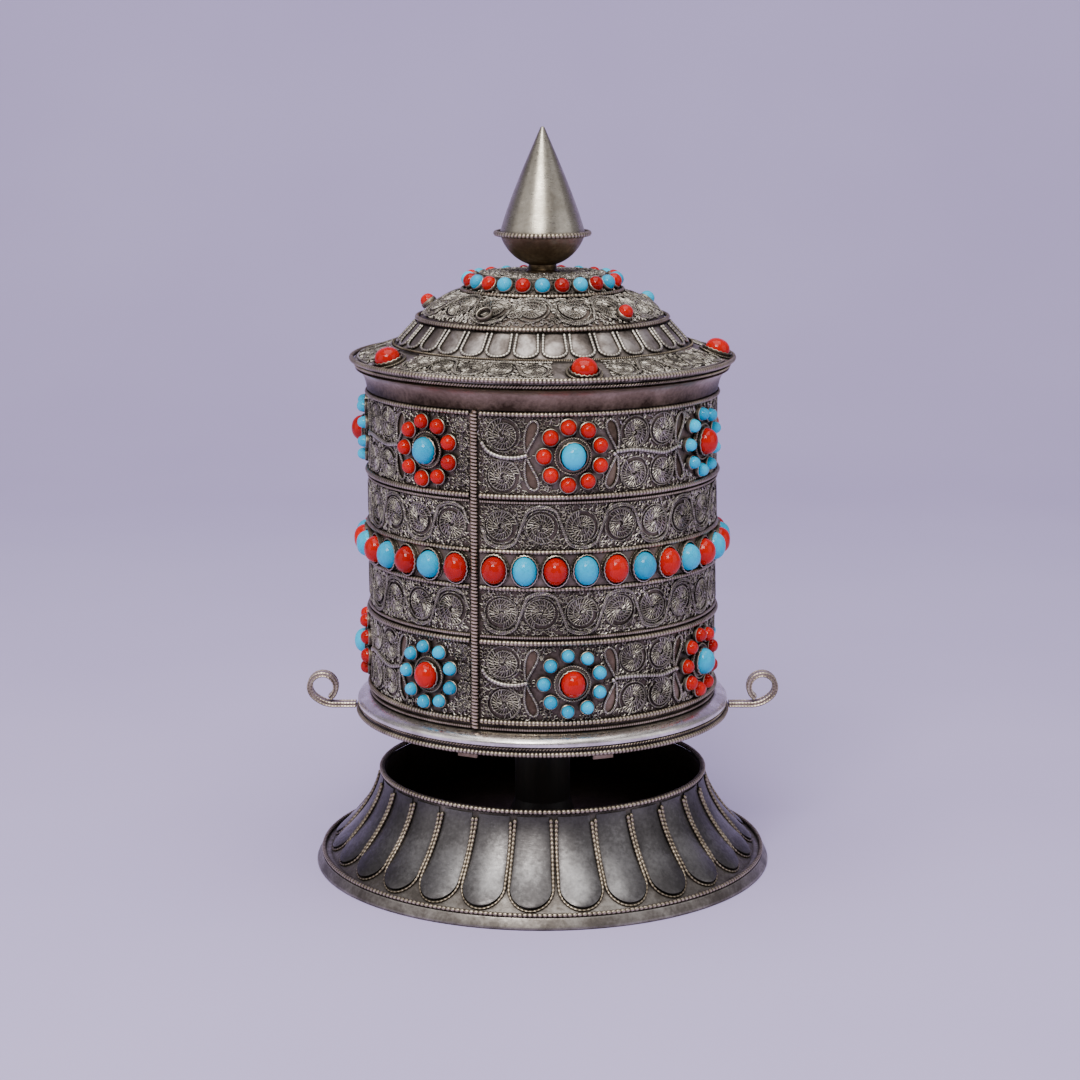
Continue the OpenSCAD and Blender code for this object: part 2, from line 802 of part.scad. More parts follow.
module lid_dome_filigree() {
    // Sheet of wirework over the dome, a little short of the wires at both ends
    high = 0.10;
    low = 0.86;
    face = dome_filigree_lift + dome_filigree_t;
    color(silver) rotate_extrude() polygon(concat(
        offset_line(dome_top, dome_bend, collar_top, dome_filigree_lift, 4, high, low),
        reversed(offset_line(dome_top, dome_bend, collar_top, face, 4, high, low))
    ));
}

module crown_collar() {
    color(dark_silver) rotate_extrude() polygon([
        dome_top + [0, 2 * solder], crown_top, crown_top - [1.2, 0], dome_top - [1.2, -2 * solder]
    ]);
}

module crown_disc() {
    disc_t = 0.8;
    color(silver) plate(crown_disc_r, stud_r + running_gap, crown_top[1] + solder, disc_t);
}

// ---- Lid stones ----

dome_stone_count = 5;
dome_stone_turn = 43;
// Place of the dome's stones, as a share of the way down the dome
dome_stone_place = 0.68;
flange_stone_d = 7.8;
flange_stone_r = 49.9;

module at_flange_stone(i) {
    z = lerp(flange_top_z, lid_edge_z, (flange_stone_r - flange_in_r) / (lid_edge_r - 1.6 - flange_in_r));
    turn = flange_stone_turn + i * 360 / flange_stone_count;
    on_slope(turn, flange_stone_r, z + 0.1, 90 - flange_slope) children();
}

module at_dome_stone(i) {
    out = bend_normal(dome_top, dome_bend, collar_top, dome_stone_place);
    place = bend(dome_top, dome_bend, collar_top, dome_stone_place)
        + (dome_filigree_lift + dome_filigree_t + solder) * out;
    turn = dome_stone_turn + i * 360 / dome_stone_count;
    on_slope(turn, place[0], place[1], atan2(out[1], out[0])) children();
}

module at_crown_stone(i) {
    // The cups reach a little over the slope's upper edge
    middle = lerp(dome_top, crown_top, 0.65) + 0.15 * [1, 1];
    on_slope(i * 360 / crown_stone_count, middle[0], middle[1], 90 - crown_slope) children();
}

module lid_bezels() {
    color(wire_silver) {
        for (i = [0:flange_stone_count - 1]) at_flange_stone(i) bezel(flange_stone_d, 5.1, 1.6);
        for (i = [0:dome_stone_count - 1])
            at_dome_stone(i) bezel(small_stone_d, small_stone_d / 2 + 0.4, 1.2);
        for (i = [0:crown_stone_count - 1]) at_crown_stone(i)
            bezel(small_stone_d, small_stone_d / 2 + 0.4, 1.2);
    }
}

module lid_small_stone() {
    translate([0, 0, 0.36 + solder]) cabochon(small_stone_d, 0.9, 1.7);
}

module lid_corals() {
    color(coral) {
        for (i = [0:flange_stone_count - 1]) at_flange_stone(i)
            translate([0, 0, 0.48 + solder]) cabochon(flange_stone_d, 1, 2.9);
        for (i = [0, 3]) at_dome_stone(i) lid_small_stone();
        for (i = [1:2:crown_stone_count - 1]) at_crown_stone(i) lid_small_stone();
    }
}

module lid_turquoises() {
    color(turquoise) {
        for (i = [1, 2]) at_dome_stone(i) lid_small_stone();
        for (i = [0:2:crown_stone_count - 1]) at_crown_stone(i) lid_small_stone();
    }
}

// ---- Finial ----

module finial_bowl() {
    foot_z = stem_foot_z;
    // Half angle of the bowl where it meets the stem
    lip = acos((bowl_centre_z - bowl_top_z) / bowl_r);
    stem = asin(stem_r / bowl_r);
    steps = 8;
    function on_bowl(r, a) = [r * sin(a), bowl_centre_z - r * cos(a)];
    inner_r = bowl_r - finial_sheet;
    inner_lip = acos((bowl_centre_z - bowl_top_z) / inner_r);
    color(old_brass) rotate_extrude() polygon(concat(
        [[stud_r + running_gap, foot_z], [stem_r + 1, foot_z], [stem_r, foot_z + 0.8]],
        [for (i = [0:steps]) on_bowl(bowl_r, lerp(stem, lip, i / steps))],
        [for (i = [steps:-1:0]) on_bowl(inner_r, lerp(12, inner_lip, i / steps))],
        [[stud_r + running_gap, bowl_centre_z - inner_r * cos(12)]]
    ));
}

module finial_ring() {
    ring_sheet = 0.6;
    edge_r = finial_ring_r - 2 * heavy_wire - solder;
    mid_z = bowl_top_z + solder + ring_sheet / 2;
    color(wire_silver) {
        plate(edge_r, 9, mid_z - ring_sheet / 2, ring_sheet);
        wire_ring(finial_ring_r - heavy_wire, mid_z, heavy_wire);
    }
}

module finial_cone() {
    base = [12.4, bowl_top_z + 0.7];
    belly = [9.9, 199];
    tip = [0.7, finial_tip_z - 0.5];
    steps = 8;
    color(bright_silver) rotate_extrude() polygon(concat(
        [for (i = [0:steps]) bend(base, belly, tip, i / steps)],
        [[0, finial_tip_z], [0, finial_tip_z - 6]],
        [for (i = [steps - 2:-1:0]) bend(base, belly, tip, i / steps) - [finial_sheet, 0]]
    ));
}

module finial_stud() {
    color(steel) plate(stud_r, 0, crown_top[1] - 4.5, 9);
}

module finial_nut() {
    color(steel) nut(crown_top[1] - 3.2, 3, 6, stud_r + running_gap);
}

stand_shell();
stand_petals();
stand_petal_wires();
foot_ring();
foot_bead_wire();
stand_rim_wire();
floor_plate();
spindle();
bearing_post();
thrust_washer();
spindle_washers();
spindle_nuts();
drum_wall();
drum_floor();
floor_tabs();
drum_base_flange();
base_flange_wires();
drum_mouth_cove();
ring_wires();
seam_wire();
upper_flower_filigree();
upper_scroll_filigree();
stone_band_strip();
lower_scroll_filigree();
lower_flower_filigree();
stone_band_bezels();
stone_band_corals();
stone_band_turquoises();
rosette_bezels();
rosette_corals();
rosette_turquoises();
left_curl_handle();
right_curl_handle();
lower_bush();
upper_bush();
core_tube();
mantra_roll();
roll_wrapper();
roll_ties();
bridge_bar();
lid_flange();
lid_skirt();
lid_edge_wire();
lid_flange_filigree();
lid_petal_collar();
lid_petal_wires();
lid_ring_wires();
lid_dome();
lid_dome_filigree();
crown_collar();
crown_disc();
lid_bezels();
lid_corals();
lid_turquoises();
finial_bowl();
finial_ring();
finial_cone();
finial_stud();
finial_nut();
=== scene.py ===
"""Looks of a table-top prayer wheel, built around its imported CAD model.

Shapes are worked out in millimetres and stored in metres. A turn is an angle around the wheel in radians,
from the front (-Y) towards +X. Flat patterns are drawn in (u, v, h): u runs around the wheel, v up it and
h off it.
"""

import math

import bpy
import numpy as np
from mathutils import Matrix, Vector


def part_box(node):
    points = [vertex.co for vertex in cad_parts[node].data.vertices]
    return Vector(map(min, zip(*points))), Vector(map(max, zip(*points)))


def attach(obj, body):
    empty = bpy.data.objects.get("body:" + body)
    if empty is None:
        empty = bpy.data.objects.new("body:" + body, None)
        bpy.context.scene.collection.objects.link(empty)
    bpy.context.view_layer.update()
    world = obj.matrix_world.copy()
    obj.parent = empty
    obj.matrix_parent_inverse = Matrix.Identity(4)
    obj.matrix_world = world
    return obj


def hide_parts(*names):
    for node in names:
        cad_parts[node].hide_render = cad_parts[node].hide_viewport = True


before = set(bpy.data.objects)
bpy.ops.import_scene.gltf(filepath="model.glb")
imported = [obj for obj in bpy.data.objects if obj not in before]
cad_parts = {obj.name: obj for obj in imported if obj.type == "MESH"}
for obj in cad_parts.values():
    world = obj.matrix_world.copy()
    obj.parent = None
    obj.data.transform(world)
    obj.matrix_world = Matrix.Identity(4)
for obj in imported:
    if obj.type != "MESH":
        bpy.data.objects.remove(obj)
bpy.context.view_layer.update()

MM = 1000.0
FULL = 2 * math.pi
random = np.random.default_rng(11)
between = random.uniform


def any_turn():
    """Random angle."""
    return between(0, FULL)


def pick(patterns):
    """One of the patterns, at random."""
    return patterns[random.integers(len(patterns))]


# ---- Places read from the frame ----

def low(node):
    """Lowest corner of a CAD node."""
    return np.array(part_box(node)[0]) * MM


def high(node):
    """Highest corner of a CAD node."""
    return np.array(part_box(node)[1]) * MM


def solids(node):
    """Turn, radius, height and width of each separate solid of a CAD node."""
    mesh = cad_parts[node].data
    points = np.empty(len(mesh.vertices) * 3, np.float32)
    mesh.vertices.foreach_get("co", points)
    edges = np.empty(len(mesh.edges) * 2, np.int32)
    mesh.edges.foreach_get("vertices", edges)
    places, welded = np.unique(np.round(points.reshape(-1, 3) * MM, 3), axis=0, return_inverse=True)
    edges = welded.reshape(-1)[edges].reshape(-1, 2)
    group = np.arange(len(places))
    while True:
        lowest = np.minimum(group[edges[:, 0]], group[edges[:, 1]])
        merged = group.copy()
        np.minimum.at(merged, edges[:, 0], lowest)
        np.minimum.at(merged, edges[:, 1], lowest)
        merged = merged[merged]
        if np.array_equal(merged, group):
            break
        group = merged
    found = []
    for label in np.unique(group):
        solid = places[group == label]
        x, y, z = (solid.min(0) + solid.max(0)) / 2
        turn = math.atan2(x, -y)
        sideways = solid[:, 0] * math.cos(turn) + solid[:, 1] * math.sin(turn)
        found.append((turn, math.hypot(x, y), z, float(np.ptp(sideways))))
    return sorted(found)


DRUM_R = high("drum_wall")[0]
WALL_TOP_Z = high("drum_wall")[2]
DRUM_FLOOR_Z = low("drum_floor")[2]
RIM_Z = high("stand_shell")[2]
RIM_R = high("stand_rim_wire")[0] - 0.95
FOOT_R = high("foot_ring")[0]
FOOT_H = high("foot_ring")[2]
FLARE_FOOT_R = high("stand_shell")[0]
SEAM_TURN = solids("seam_wire")[0][0]
LID_EDGE_R = high("lid_flange")[0]
LID_EDGE_Z = high("lid_flange")[2] - 4.1
FLANGE_TOP_Z = high("lid_flange")[2]
FLANGE_IN_R = high("lid_petal_collar")[0] + 0.2
COLLAR_TOP_Z = high("lid_petal_collar")[2]
CROWN_TOP_Z = high("crown_collar")[2]
CROWN_FOOT_R = high("crown_collar")[0]
CROWN_DISC_R = high("crown_disc")[0]
CROWN_TOP_R = CROWN_DISC_R + 0.8
TIP_Z = high("finial_cone")[2]
BOWL_TOP_Z = high("finial_bowl")[2]
BOWL_R = high("finial_bowl")[0]
FINIAL_RING_R = high("finial_ring")[0]

# Sizes that the frame doesn't give
SHEET = 0.8
RIM_WIRE_R = 0.8
STUD_HOLE_R = 1.55

# Heights of the ring wires around the drum
HIGHEST_RING_Z = high("upper_flower_filigree")[2] + 0.8
UPPER_PAIR_Z = low("upper_flower_filigree")[2] - 0.9
UPPER_SCROLL_Z = high("upper_scroll_filigree")[2] + 0.6
UPPER_BELT_Z = low("upper_scroll_filigree")[2] - 0.8
LOWER_BELT_Z = high("lower_scroll_filigree")[2] + 0.8
LOWER_SCROLL_Z = low("lower_scroll_filigree")[2] - 0.6
LOWER_PAIR_Z = high("lower_flower_filigree")[2] + 0.9
LOWEST_RING_Z = low("lower_flower_filigree")[2] - 0.9


# ---- Mesh tools ----

def around(turn, r, z):
    """Points at a turn, a radius and a height."""
    turn, r, z = np.broadcast_arrays(turn, r, z)
    return np.stack([r * np.sin(turn), -r * np.cos(turn), z], axis=-1)


def polar(radius, angle, height=None):
    """Flat points at a radius and an angle, or raised to a height."""
    columns = [radius * np.cos(angle), radius * np.sin(angle)]
    if height is not None:
        columns.append(np.broadcast_to(height, columns[0].shape))
    return np.stack(columns, axis=-1)


def unit(vectors):
    """The same directions with a length of one."""
    return vectors / np.linalg.norm(vectors, axis=-1, keepdims=True)


def bezier(a, b, c, steps):
    """Points of the curve that starts at a, bends towards b and ends at c."""
    t = np.linspace(0, 1, steps + 1)[:, None]
    a, b, c = (np.array(point, float) for point in (a, b, c))
    return (1 - t) ** 2 * a + 2 * t * (1 - t) * b + t * t * c


def arc(centre, radius, start, end, steps):
    """Points of an arc, with its angles in degrees."""
    return np.array(centre) + polar(radius, np.radians(np.linspace(start, end, steps + 1)))


def rounded(points, steps, closed=False):
    """Smooth curve through the points given."""
    points = np.asarray(points, float)
    if closed:
        points = np.vstack([points[-1], points, points[:2]])
    else:
        points = np.vstack([2 * points[0] - points[1], points, 2 * points[-1] - points[-2]])
    t = np.linspace(0, 1, steps, endpoint=False)[:, None]
    parts = []
    for a, b, c, d in zip(points, points[1:], points[2:], points[3:]):
        parts.append(0.5 * (2 * b + (c - a) * t + (2 * a - 5 * b + 4 * c - d) * t ** 2
                            + (3 * b - a - 3 * c + d) * t ** 3))
    if not closed:
        parts.append(points[-2:-1])
    return np.vstack(parts)


def spaced(line, step, closed=False):
    """The same line with its points about a step apart."""
    line = np.asarray(line, float)
    if closed:
        line = np.vstack([line, line[:1]])
    along = np.concatenate([[0], np.cumsum(np.linalg.norm(np.diff(line, axis=0), axis=1))])
    count = max(3, int(round(along[-1] / step)) + 1)
    place = np.linspace(0, along[-1], count)
    line = np.stack([np.interp(place, along, axis) for axis in line.T], axis=1)
    return line[:-1] if closed else line


class Shape:
    """Points with a value from 0 in a recess to 1 on a crest, which holds both wear and painted shade, and
    faces of three or four corners.
    """

    def __init__(self):
        self.points = np.empty((0, 3))
        self.wear = np.empty(0)
        self.quads = np.empty((0, 4), int)
        self.tris = np.empty((0, 3), int)
        self.parts = []
        self.count = 0

    def add(self, points, quads=(), tris=(), wear=0.5, solid=True):
        """Adds a part. The faces of a solid part are turned to look outward."""
        points = np.asarray(points, float).reshape(-1, 3)
        quads = np.asarray(quads, int).reshape(-1, 4)
        tris = np.asarray(tris, int).reshape(-1, 3)
        if solid:
            corners = np.vstack([tris, quads[:, [0, 1, 2]], quads[:, [0, 2, 3]]])
            a, b, c = (points[corners[:, k]] - points[0] for k in range(3))
            if np.einsum("ij,ij->", a, np.cross(b, c)) < 0:
                quads = quads[:, ::-1]
                tris = tris[:, ::-1]
        wear = np.broadcast_to(wear, len(points)) if np.ndim(wear) == 0 else np.reshape(wear, -1)
        self.parts.append((points, wear, quads + self.count, tris + self.count))
        self.count += len(points)

    def close(self):
        """Joins the parts added so far."""
        if self.parts:
            parts = [(self.points, self.wear, self.quads, self.tris), *self.parts]
            joined = [np.concatenate(column) for column in zip(*parts)]
            self.points, self.wear, self.quads, self.tris = joined
            self.parts = []
        return self


def grid(rows, columns, close_rows=False, close_columns=False):
    """Faces of a grid of points, stored row by row."""
    row = np.arange(rows if close_rows else rows - 1)[:, None]
    column = np.arange(columns if close_columns else columns - 1)[None, :]
    next_row = (row + 1) % rows
    next_column = (column + 1) % columns
    corners = np.broadcast_arrays(row * columns + column, next_row * columns + column,
                                  next_row * columns + next_column, row * columns + next_column)
    return np.stack(corners, axis=-1).reshape(-1, 4)


def end_caps(rows, sides):
    """Triangles that close the first and the last row of a tube's grid."""
    fan = np.arange(1, sides - 1)
    cap = np.stack([np.zeros_like(fan), fan, fan + 1], 1)
    return np.vstack([cap, cap[:, ::-1] + (rows - 1) * sides])


def lathe(shape, outline, segments):
    """Revolves a closed outline of (r, z, wear) points about the wheel's axis."""
    r, z, wear = np.array(outline, float).T
    turn = np.linspace(0, FULL, segments, endpoint=False)[:, None]
    faces = grid(segments, len(outline), True, True)
    shape.add(around(turn, r, z), faces, wear=np.tile(wear, segments))


def turned_solid(outline, segments, wear=0.5):
    """Solid of revolution about its own h axis; its outline of (r, h) starts and ends on that axis."""
    outline = np.asarray(outline, float)
    angle = np.linspace(0, FULL, segments, endpoint=False)
    rings = outline[1:-1]
    points = polar(rings[:, :1], angle, rings[:, 1:]).reshape(-1, 3)
    first, last = len(points), len(points) + 1
    points = np.vstack([points, [0, 0, outline[0, 1]], [0, 0, outline[-1, 1]]])
    here = np.arange(segments)
    after = (here + 1) % segments
    top = (len(rings) - 1) * segments
    tris = np.vstack([np.stack([np.full(segments, first), after, here], 1),
                      np.stack([np.full(segments, last), top + here, top + after], 1)])
    solid = Shape()
    solid.add(points, grid(len(rings), segments, False, True), tris, wear)
    return solid.close()


def wire(shape, path, radius, up=(0, 0, 1), sides=6, lobes=0, depth=0.4, pitch=1.0, beads=0.0,
         bead_depth=0.35, closed=False, tone=1.0):
    """Wire along a path.

    With lobes it is twisted, one turn to a pitch. With beads it has a bead to each such length.
    """
    path = np.asarray(path, float)
    if closed:
        tangent = np.roll(path, -1, 0) - np.roll(path, 1, 0)
        length = np.linalg.norm(np.diff(np.vstack([path, path[:1]]), axis=0), axis=1).sum()
    else:
        tangent = np.gradient(path, axis=0)
        length = np.linalg.norm(np.diff(path, axis=0), axis=1).sum()
    tangent = unit(tangent)
    side = unit(np.cross(tangent, np.broadcast_to(up, path.shape)))
    rise = np.cross(side, tangent)
    along = np.concatenate([[0], np.cumsum(np.linalg.norm(np.diff(path, axis=0), axis=1))])
    angle = np.arange(sides) * FULL / sides
    crest = 0.5 + 0.5 * np.cos(lobes * angle) if lobes else np.ones(sides)
    if lobes:
        turns = length / pitch
        if closed:
            turns = round(turns * lobes) / lobes
        angle = angle[None, :] + (along / length * turns * FULL)[:, None]
    else:
        angle = np.broadcast_to(angle, (len(path), sides))
    size = radius * (1 - depth * (1 - crest))[None, :] * np.ones((len(path), 1))
    # Brighter on the crests of a twist and on the side away from the wall: the dark side towards the wall is
    # painted shade, the dark grooves partly patina and partly painted shade
    wear = (0.25 + 0.75 * crest)[None, :] * (0.35 + 0.65 * (0.5 + 0.5 * np.sin(angle)))
    if beads:
        count = max(1, round(length / beads))
        bulge = np.abs(np.sin(math.pi * count * along / length))[:, None]
        size = size * (1 - bead_depth * (1 - bulge ** 0.6))
        # Necks between beads darker: partly patina, partly painted shade
        wear = wear * (0.2 + 0.8 * bulge)
    points = (path[:, None] + (size * np.cos(angle))[..., None] * side[:, None]
              + (size * np.sin(angle))[..., None] * rise[:, None])
    ends = () if closed else end_caps(len(path), sides)
    shape.add(points, grid(len(path), sides, closed, True), ends, wear * tone)


def spun(u, v, angle):
    """Flat places turned by an angle."""
    return u * math.cos(angle) - v * math.sin(angle), u * math.sin(angle) + v * math.cos(angle)


class Turned:
    """Surface of revolution. A place on it has a turn, a distance v up its outline, a height h off it."""

    def __init__(self, outline):
        self.outline = np.asarray(outline, float)
        tangent = unit(np.gradient(self.outline, axis=0))
        self.out = np.stack([tangent[:, 1], -tangent[:, 0]], axis=1)
        steps = np.linalg.norm(np.diff(self.outline, axis=0), axis=1)
        self.along = np.concatenate([[0], np.cumsum(steps)])
        self.length = self.along[-1]

    def section(self, v):
        """Radius, height and the outward direction at v."""
        columns = (*self.outline.T, *self.out.T)
        return [np.interp(v, self.along, column) for column in columns]

    def v_at(self, z, h=0.0):
        """Distance up the outline at which a point that stands h off the surface has the height z."""
        return np.interp(z, self.outline[:, 1] + h * self.out[:, 1], self.along)

    def at(self, turn, v, h=0.0):
        """Points of space at places on the surface."""
        r, z, out_r, out_z = self.section(v)
        return around(turn, r + h * out_r, z + h * out_z)

    def stamp(self, shape, pattern, turn, v, spin=0.0, size=1.0, flip=False, wear=1.0):
        """Lays a copy of a flat pattern on the surface."""
        pattern.close()
        u, up, h = pattern.points.T * size
        if flip:
            u = -u
        u, up = spun(u, up, spin)
        radius = self.section(v + up)[0]
        shape.add(self.at(turn + u / radius, v + up, h), pattern.quads, pattern.tris,
                  np.clip(pattern.wear * wear, 0, 1))

    def fix(self, shape, pattern, turn, v, h=0.0, spin=0.0, stretch=(1, 1, 1), wear=None):
        """Places a copy of a stiff pattern on the surface, without bending it."""
        pattern.close()
        out_r, out_z = self.section(v)[2:]
        side = np.array([math.cos(turn), math.sin(turn), 0])
        out = np.array([out_r * math.sin(turn), -out_r * math.cos(turn), out_z])
        up = np.cross(out, side)
        u, rise, height = pattern.points.T * np.array(stretch)[:, None]
        u, rise = spun(u, rise, spin)
        points = self.at(turn, v, h) + u[:, None] * side + rise[:, None] * up + height[:, None] * out
        shape.add(points, pattern.quads, pattern.tris, pattern.wear if wear is None else wear)


def piece(name, shape, material, body, slot, *nodes):
    """Turns a shape into a Blender object that rides on a body and stands for some CAD nodes."""
    shape.close()
    mesh = bpy.data.meshes.new(name)
    mesh.vertices.add(len(shape.points))
    mesh.vertices.foreach_set("co", (shape.points / MM).astype(np.float32).ravel())
    corners = np.concatenate([shape.quads.ravel(), shape.tris.ravel()])
    starts = np.concatenate([np.arange(len(shape.quads)) * 4,
                             len(shape.quads) * 4 + np.arange(len(shape.tris)) * 3])
    mesh.loops.add(len(corners))
    mesh.loops.foreach_set("vertex_index", corners.astype(np.int32))
    mesh.polygons.add(len(starts))
    mesh.polygons.foreach_set("loop_start", starts.astype(np.int32))
    mesh.update(calc_edges=True)
    mesh.validate()
    mesh.polygons.foreach_set("use_smooth", np.ones(len(mesh.polygons), bool))
    mesh.set_sharp_from_angle(angle=math.radians(50))
    wear = mesh.attributes.new("wear", "FLOAT", "POINT")
    wear.data.foreach_set("value", shape.wear.astype(np.float32))
    mesh.materials.append(material)
    made = bpy.data.objects.new(name, mesh)
    bpy.context.scene.collection.objects.link(made)
    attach(made, body)
    if nodes:
        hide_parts(*nodes)


def turned(name, outline, segments, material, body, slot, *nodes):
    """Piece made by revolving a closed outline of (r, z, wear) points."""
    shape = Shape()
    lathe(shape, outline, segments)
    piece(name, shape, material, body, slot, *nodes)


# ---- Materials ----

class Material:
    """A node material under construction."""

    def __init__(self, name):
        self.material = bpy.data.materials.new(name)
        self.material.use_nodes = True
        self.tree = self.material.node_tree
        self.tree.nodes.clear()
        self.place = self.add("TexCoord").outputs["Object"]

    def add(self, kind, inputs=None, **settings):
        node = self.tree.nodes.new("ShaderNode" + kind)
        for key, value in settings.items():
            setattr(node, key, value)
        for key, value in (inputs or {}).items():
            if isinstance(value, bpy.types.NodeSocket):
                self.tree.links.new(value, node.inputs[key])
            else:
                node.inputs[key].default_value = value
        return node

    def noise(self, scale, detail=4.0, roughness=0.55, distortion=0.0):
        return self.add("TexNoise", {"Vector": self.place, "Scale": scale, "Detail": detail,
                                     "Roughness": roughness, "Distortion": distortion}).outputs["Fac"]

    def stretched_noise(self, stretch, scale, detail):
        """Noise drawn out along the axes, for scratches and wood grain."""
        place = self.add("Mapping", {"Vector": self.place, "Scale": stretch}).outputs["Vector"]
        return self.add("TexNoise", {"Vector": place, "Scale": scale, "Detail": detail}).outputs["Fac"]

    def math(self, operation, a, b=0.0, clamp=False):
        return self.add("Math", {0: a, 1: b}, operation=operation, use_clamp=clamp).outputs["Value"]

    def ramp(self, factor, *stops):
        """Colour ramp with (place, colour) stops."""
        node = self.add("ValToRGB", {"Fac": factor})
        elements = node.color_ramp.elements
        while len(elements) < len(stops):
            elements.new(0.5)
        for element, (place, colour) in zip(elements, stops):
            element.position = place
            element.color = (*colour, 1.0)
        return node.outputs["Color"]

    def spread(self, factor, from_low, from_high, to_low, to_high):
        """Maps a range of values onto another."""
        return self.add("MapRange", {"Value": factor, "From Min": from_low, "From Max": from_high,
                                     "To Min": to_low, "To Max": to_high}).outputs["Result"]

    def sway(self, noise, reach):
        """Noise as a shift that goes up to the reach either way."""
        return self.spread(noise, 0.3, 0.7, -reach, reach)

    def mix(self, factor, a, b):
        node = self.add("Mix", {"Factor": factor}, data_type="RGBA")
        for key, value in (("A", a), ("B", b)):
            socket = next(s for s in node.inputs if s.name == key and s.type == "RGBA")
            if isinstance(value, bpy.types.NodeSocket):
                self.tree.links.new(value, socket)
            else:
                socket.default_value = (*value, 1.0)
        return next(s for s in node.outputs if s.type == "RGBA")

    def bump(self, height, strength, distance):
        node = self.add("Bump", {"Height": height, "Strength": strength, "Distance": distance})
        return node.outputs["Normal"]

    def finish(self, **inputs):
        """Ends the material in a Principled shader; underscores in the names stand for spaces."""
        shader = self.add("BsdfPrincipled", {key.replace("_", " "): value for key, value in inputs.items()})
        output = self.add("OutputMaterial")
        self.tree.links.new(shader.outputs["BSDF"], output.inputs["Surface"])
        return self.material


# How near, in millimetres, a neighbouring surface has to be to darken a metal; this darkening by ambient
# occlusion is painted shade
RECESS_REACH = 1.2


def aged_metal(name, recess, middle, crest, rough, cloud=0.35, dent=0.0):
    """Tarnished metal, dark in recesses by patina and painted shade, bright where rubbed, with clouds of
    tarnish and scratches.
    """
    m = Material(name)
    wear = m.add("Attribute", attribute_name="wear").outputs["Fac"]
    # Ambient occlusion darkens the colour near other surfaces: painted shade laid over the patina in the
    # hollows
    open_sky = m.add("AmbientOcclusion", {"Distance": RECESS_REACH / MM}, samples=6).outputs["AO"]
    clouds = m.noise(90, 5, 0.6, 0.4)
    specks = m.noise(900, 3, 0.6)
    # Dark where shaded or tarnished, bright where rubbed: the colour mixes painted shade with real patina
    # and wear
    rubbed_and_unshaded = m.math("MULTIPLY", wear, m.math("POWER", open_sky, 1.4))
    rubbed_and_unshaded = m.math("ADD", rubbed_and_unshaded, m.sway(clouds, cloud / 2))
    rubbed_and_unshaded = m.math("ADD", rubbed_and_unshaded, m.sway(specks, 0.10), True)
    colour = m.ramp(rubbed_and_unshaded, (0.0, recess), (0.45, middle), (1.0, crest))
    scratches = m.stretched_noise((1, 1, 6), 700, 3.0)
    uneven = m.sway(scratches, 0.07)
    roughness = m.math("ADD", m.spread(rubbed_and_unshaded, 0, 1, *rough), uneven, True)
    height = m.math("ADD", m.math("MULTIPLY", scratches, 0.5), m.math("MULTIPLY", m.noise(160, 2), dent))
    normal = m.bump(height, 0.35, 0.0001)
    return m.finish(Base_Color=colour, Metallic=1.0, Roughness=roughness, Normal=normal)


def polished_stone(name, deep, bright, matrix, matrix_share, roughness):
    """Glossy opaque stone. Each stone's wear value sets how deep or bright its colour is."""
    m = Material(name)
    tone = m.add("Attribute", attribute_name="wear").outputs["Fac"]
    mottle = m.noise(420, 4, 0.6, 0.6)
    shade = m.math("ADD", tone, m.sway(mottle, 0.13), True)
    colour = m.ramp(shade, (0.0, deep), (1.0, bright))
    cracks = m.add("TexVoronoi", {"Vector": m.place, "Scale": 330.0}, feature="DISTANCE_TO_EDGE")
    vein = m.spread(cracks.outputs["Distance"], 0.0, 0.035, 1, 0)
    patches = m.spread(m.noise(150), 0.5, 0.62, 0, matrix_share)
    colour = m.mix(m.math("MULTIPLY", vein, patches, True), colour, matrix)
    gloss = m.spread(m.noise(1300, 3), 0.3, 0.7, roughness * 0.7, roughness * 1.4)
    return m.finish(Base_Color=colour, Roughness=gloss, IOR=1.46, Specular_IOR_Level=0.32,
                    Subsurface_Weight=0.08, Subsurface_Radius=(0.002, 0.001, 0.0008), Subsurface_Scale=0.3,
                    Normal=m.bump(m.noise(200, 1), 0.05, 0.0001))


def paper():
    """Old paper, seen at the end of the roll, with its windings and stains."""
    m = Material("mantra_paper")
    windings = m.add("TexWave", {"Vector": m.place, "Scale": 260.0, "Distortion": 3.0, "Detail": 3.0},
                     wave_type="RINGS", rings_direction="Z").outputs["Fac"]
    stains = m.noise(45, 4, 0.6, 1.0)
    tone = m.math("ADD", m.math("MULTIPLY", windings, 0.55), m.spread(stains, 0.3, 0.7, 0.0, 0.5), True)
    colour = m.ramp(tone, (0.0, (0.16, 0.105, 0.05)), (0.45, (0.50, 0.385, 0.22)),
                    (1.0, (0.76, 0.66, 0.46)))
    return m.finish(Base_Color=colour, Roughness=0.85, Normal=m.bump(windings, 0.6, 0.0003))


def woven(name, base, shade, scale):
    """Cloth or cord with a fine weave."""
    m = Material(name)
    across = m.add("TexWave", {"Vector": m.place, "Scale": scale}, bands_direction="Z").outputs["Fac"]
    along = m.add("TexWave", {"Vector": m.place, "Scale": scale}, bands_direction="DIAGONAL").outputs["Fac"]
    weave = m.math("MULTIPLY", across, along)
    tone = m.math("ADD", weave, m.sway(m.noise(80), 0.2), True)
    colour = m.ramp(tone, (0.0, shade), (0.7, base))
    return m.finish(Base_Color=colour, Roughness=0.75, Sheen_Weight=0.4, Normal=m.bump(weave, 0.5, 0.0002))


def dark_wood():
    """Wood, nearly black."""
    m = Material("stained_wood")
    grain = m.stretched_noise((1, 1, 0.12), 900, 6.0)
    colour = m.ramp(grain, (0.3, (0.006, 0.004, 0.003)), (0.7, (0.018, 0.011, 0.008)))
    return m.finish(Base_Color=colour, Roughness=0.55, Normal=m.bump(grain, 0.4, 0.0002))


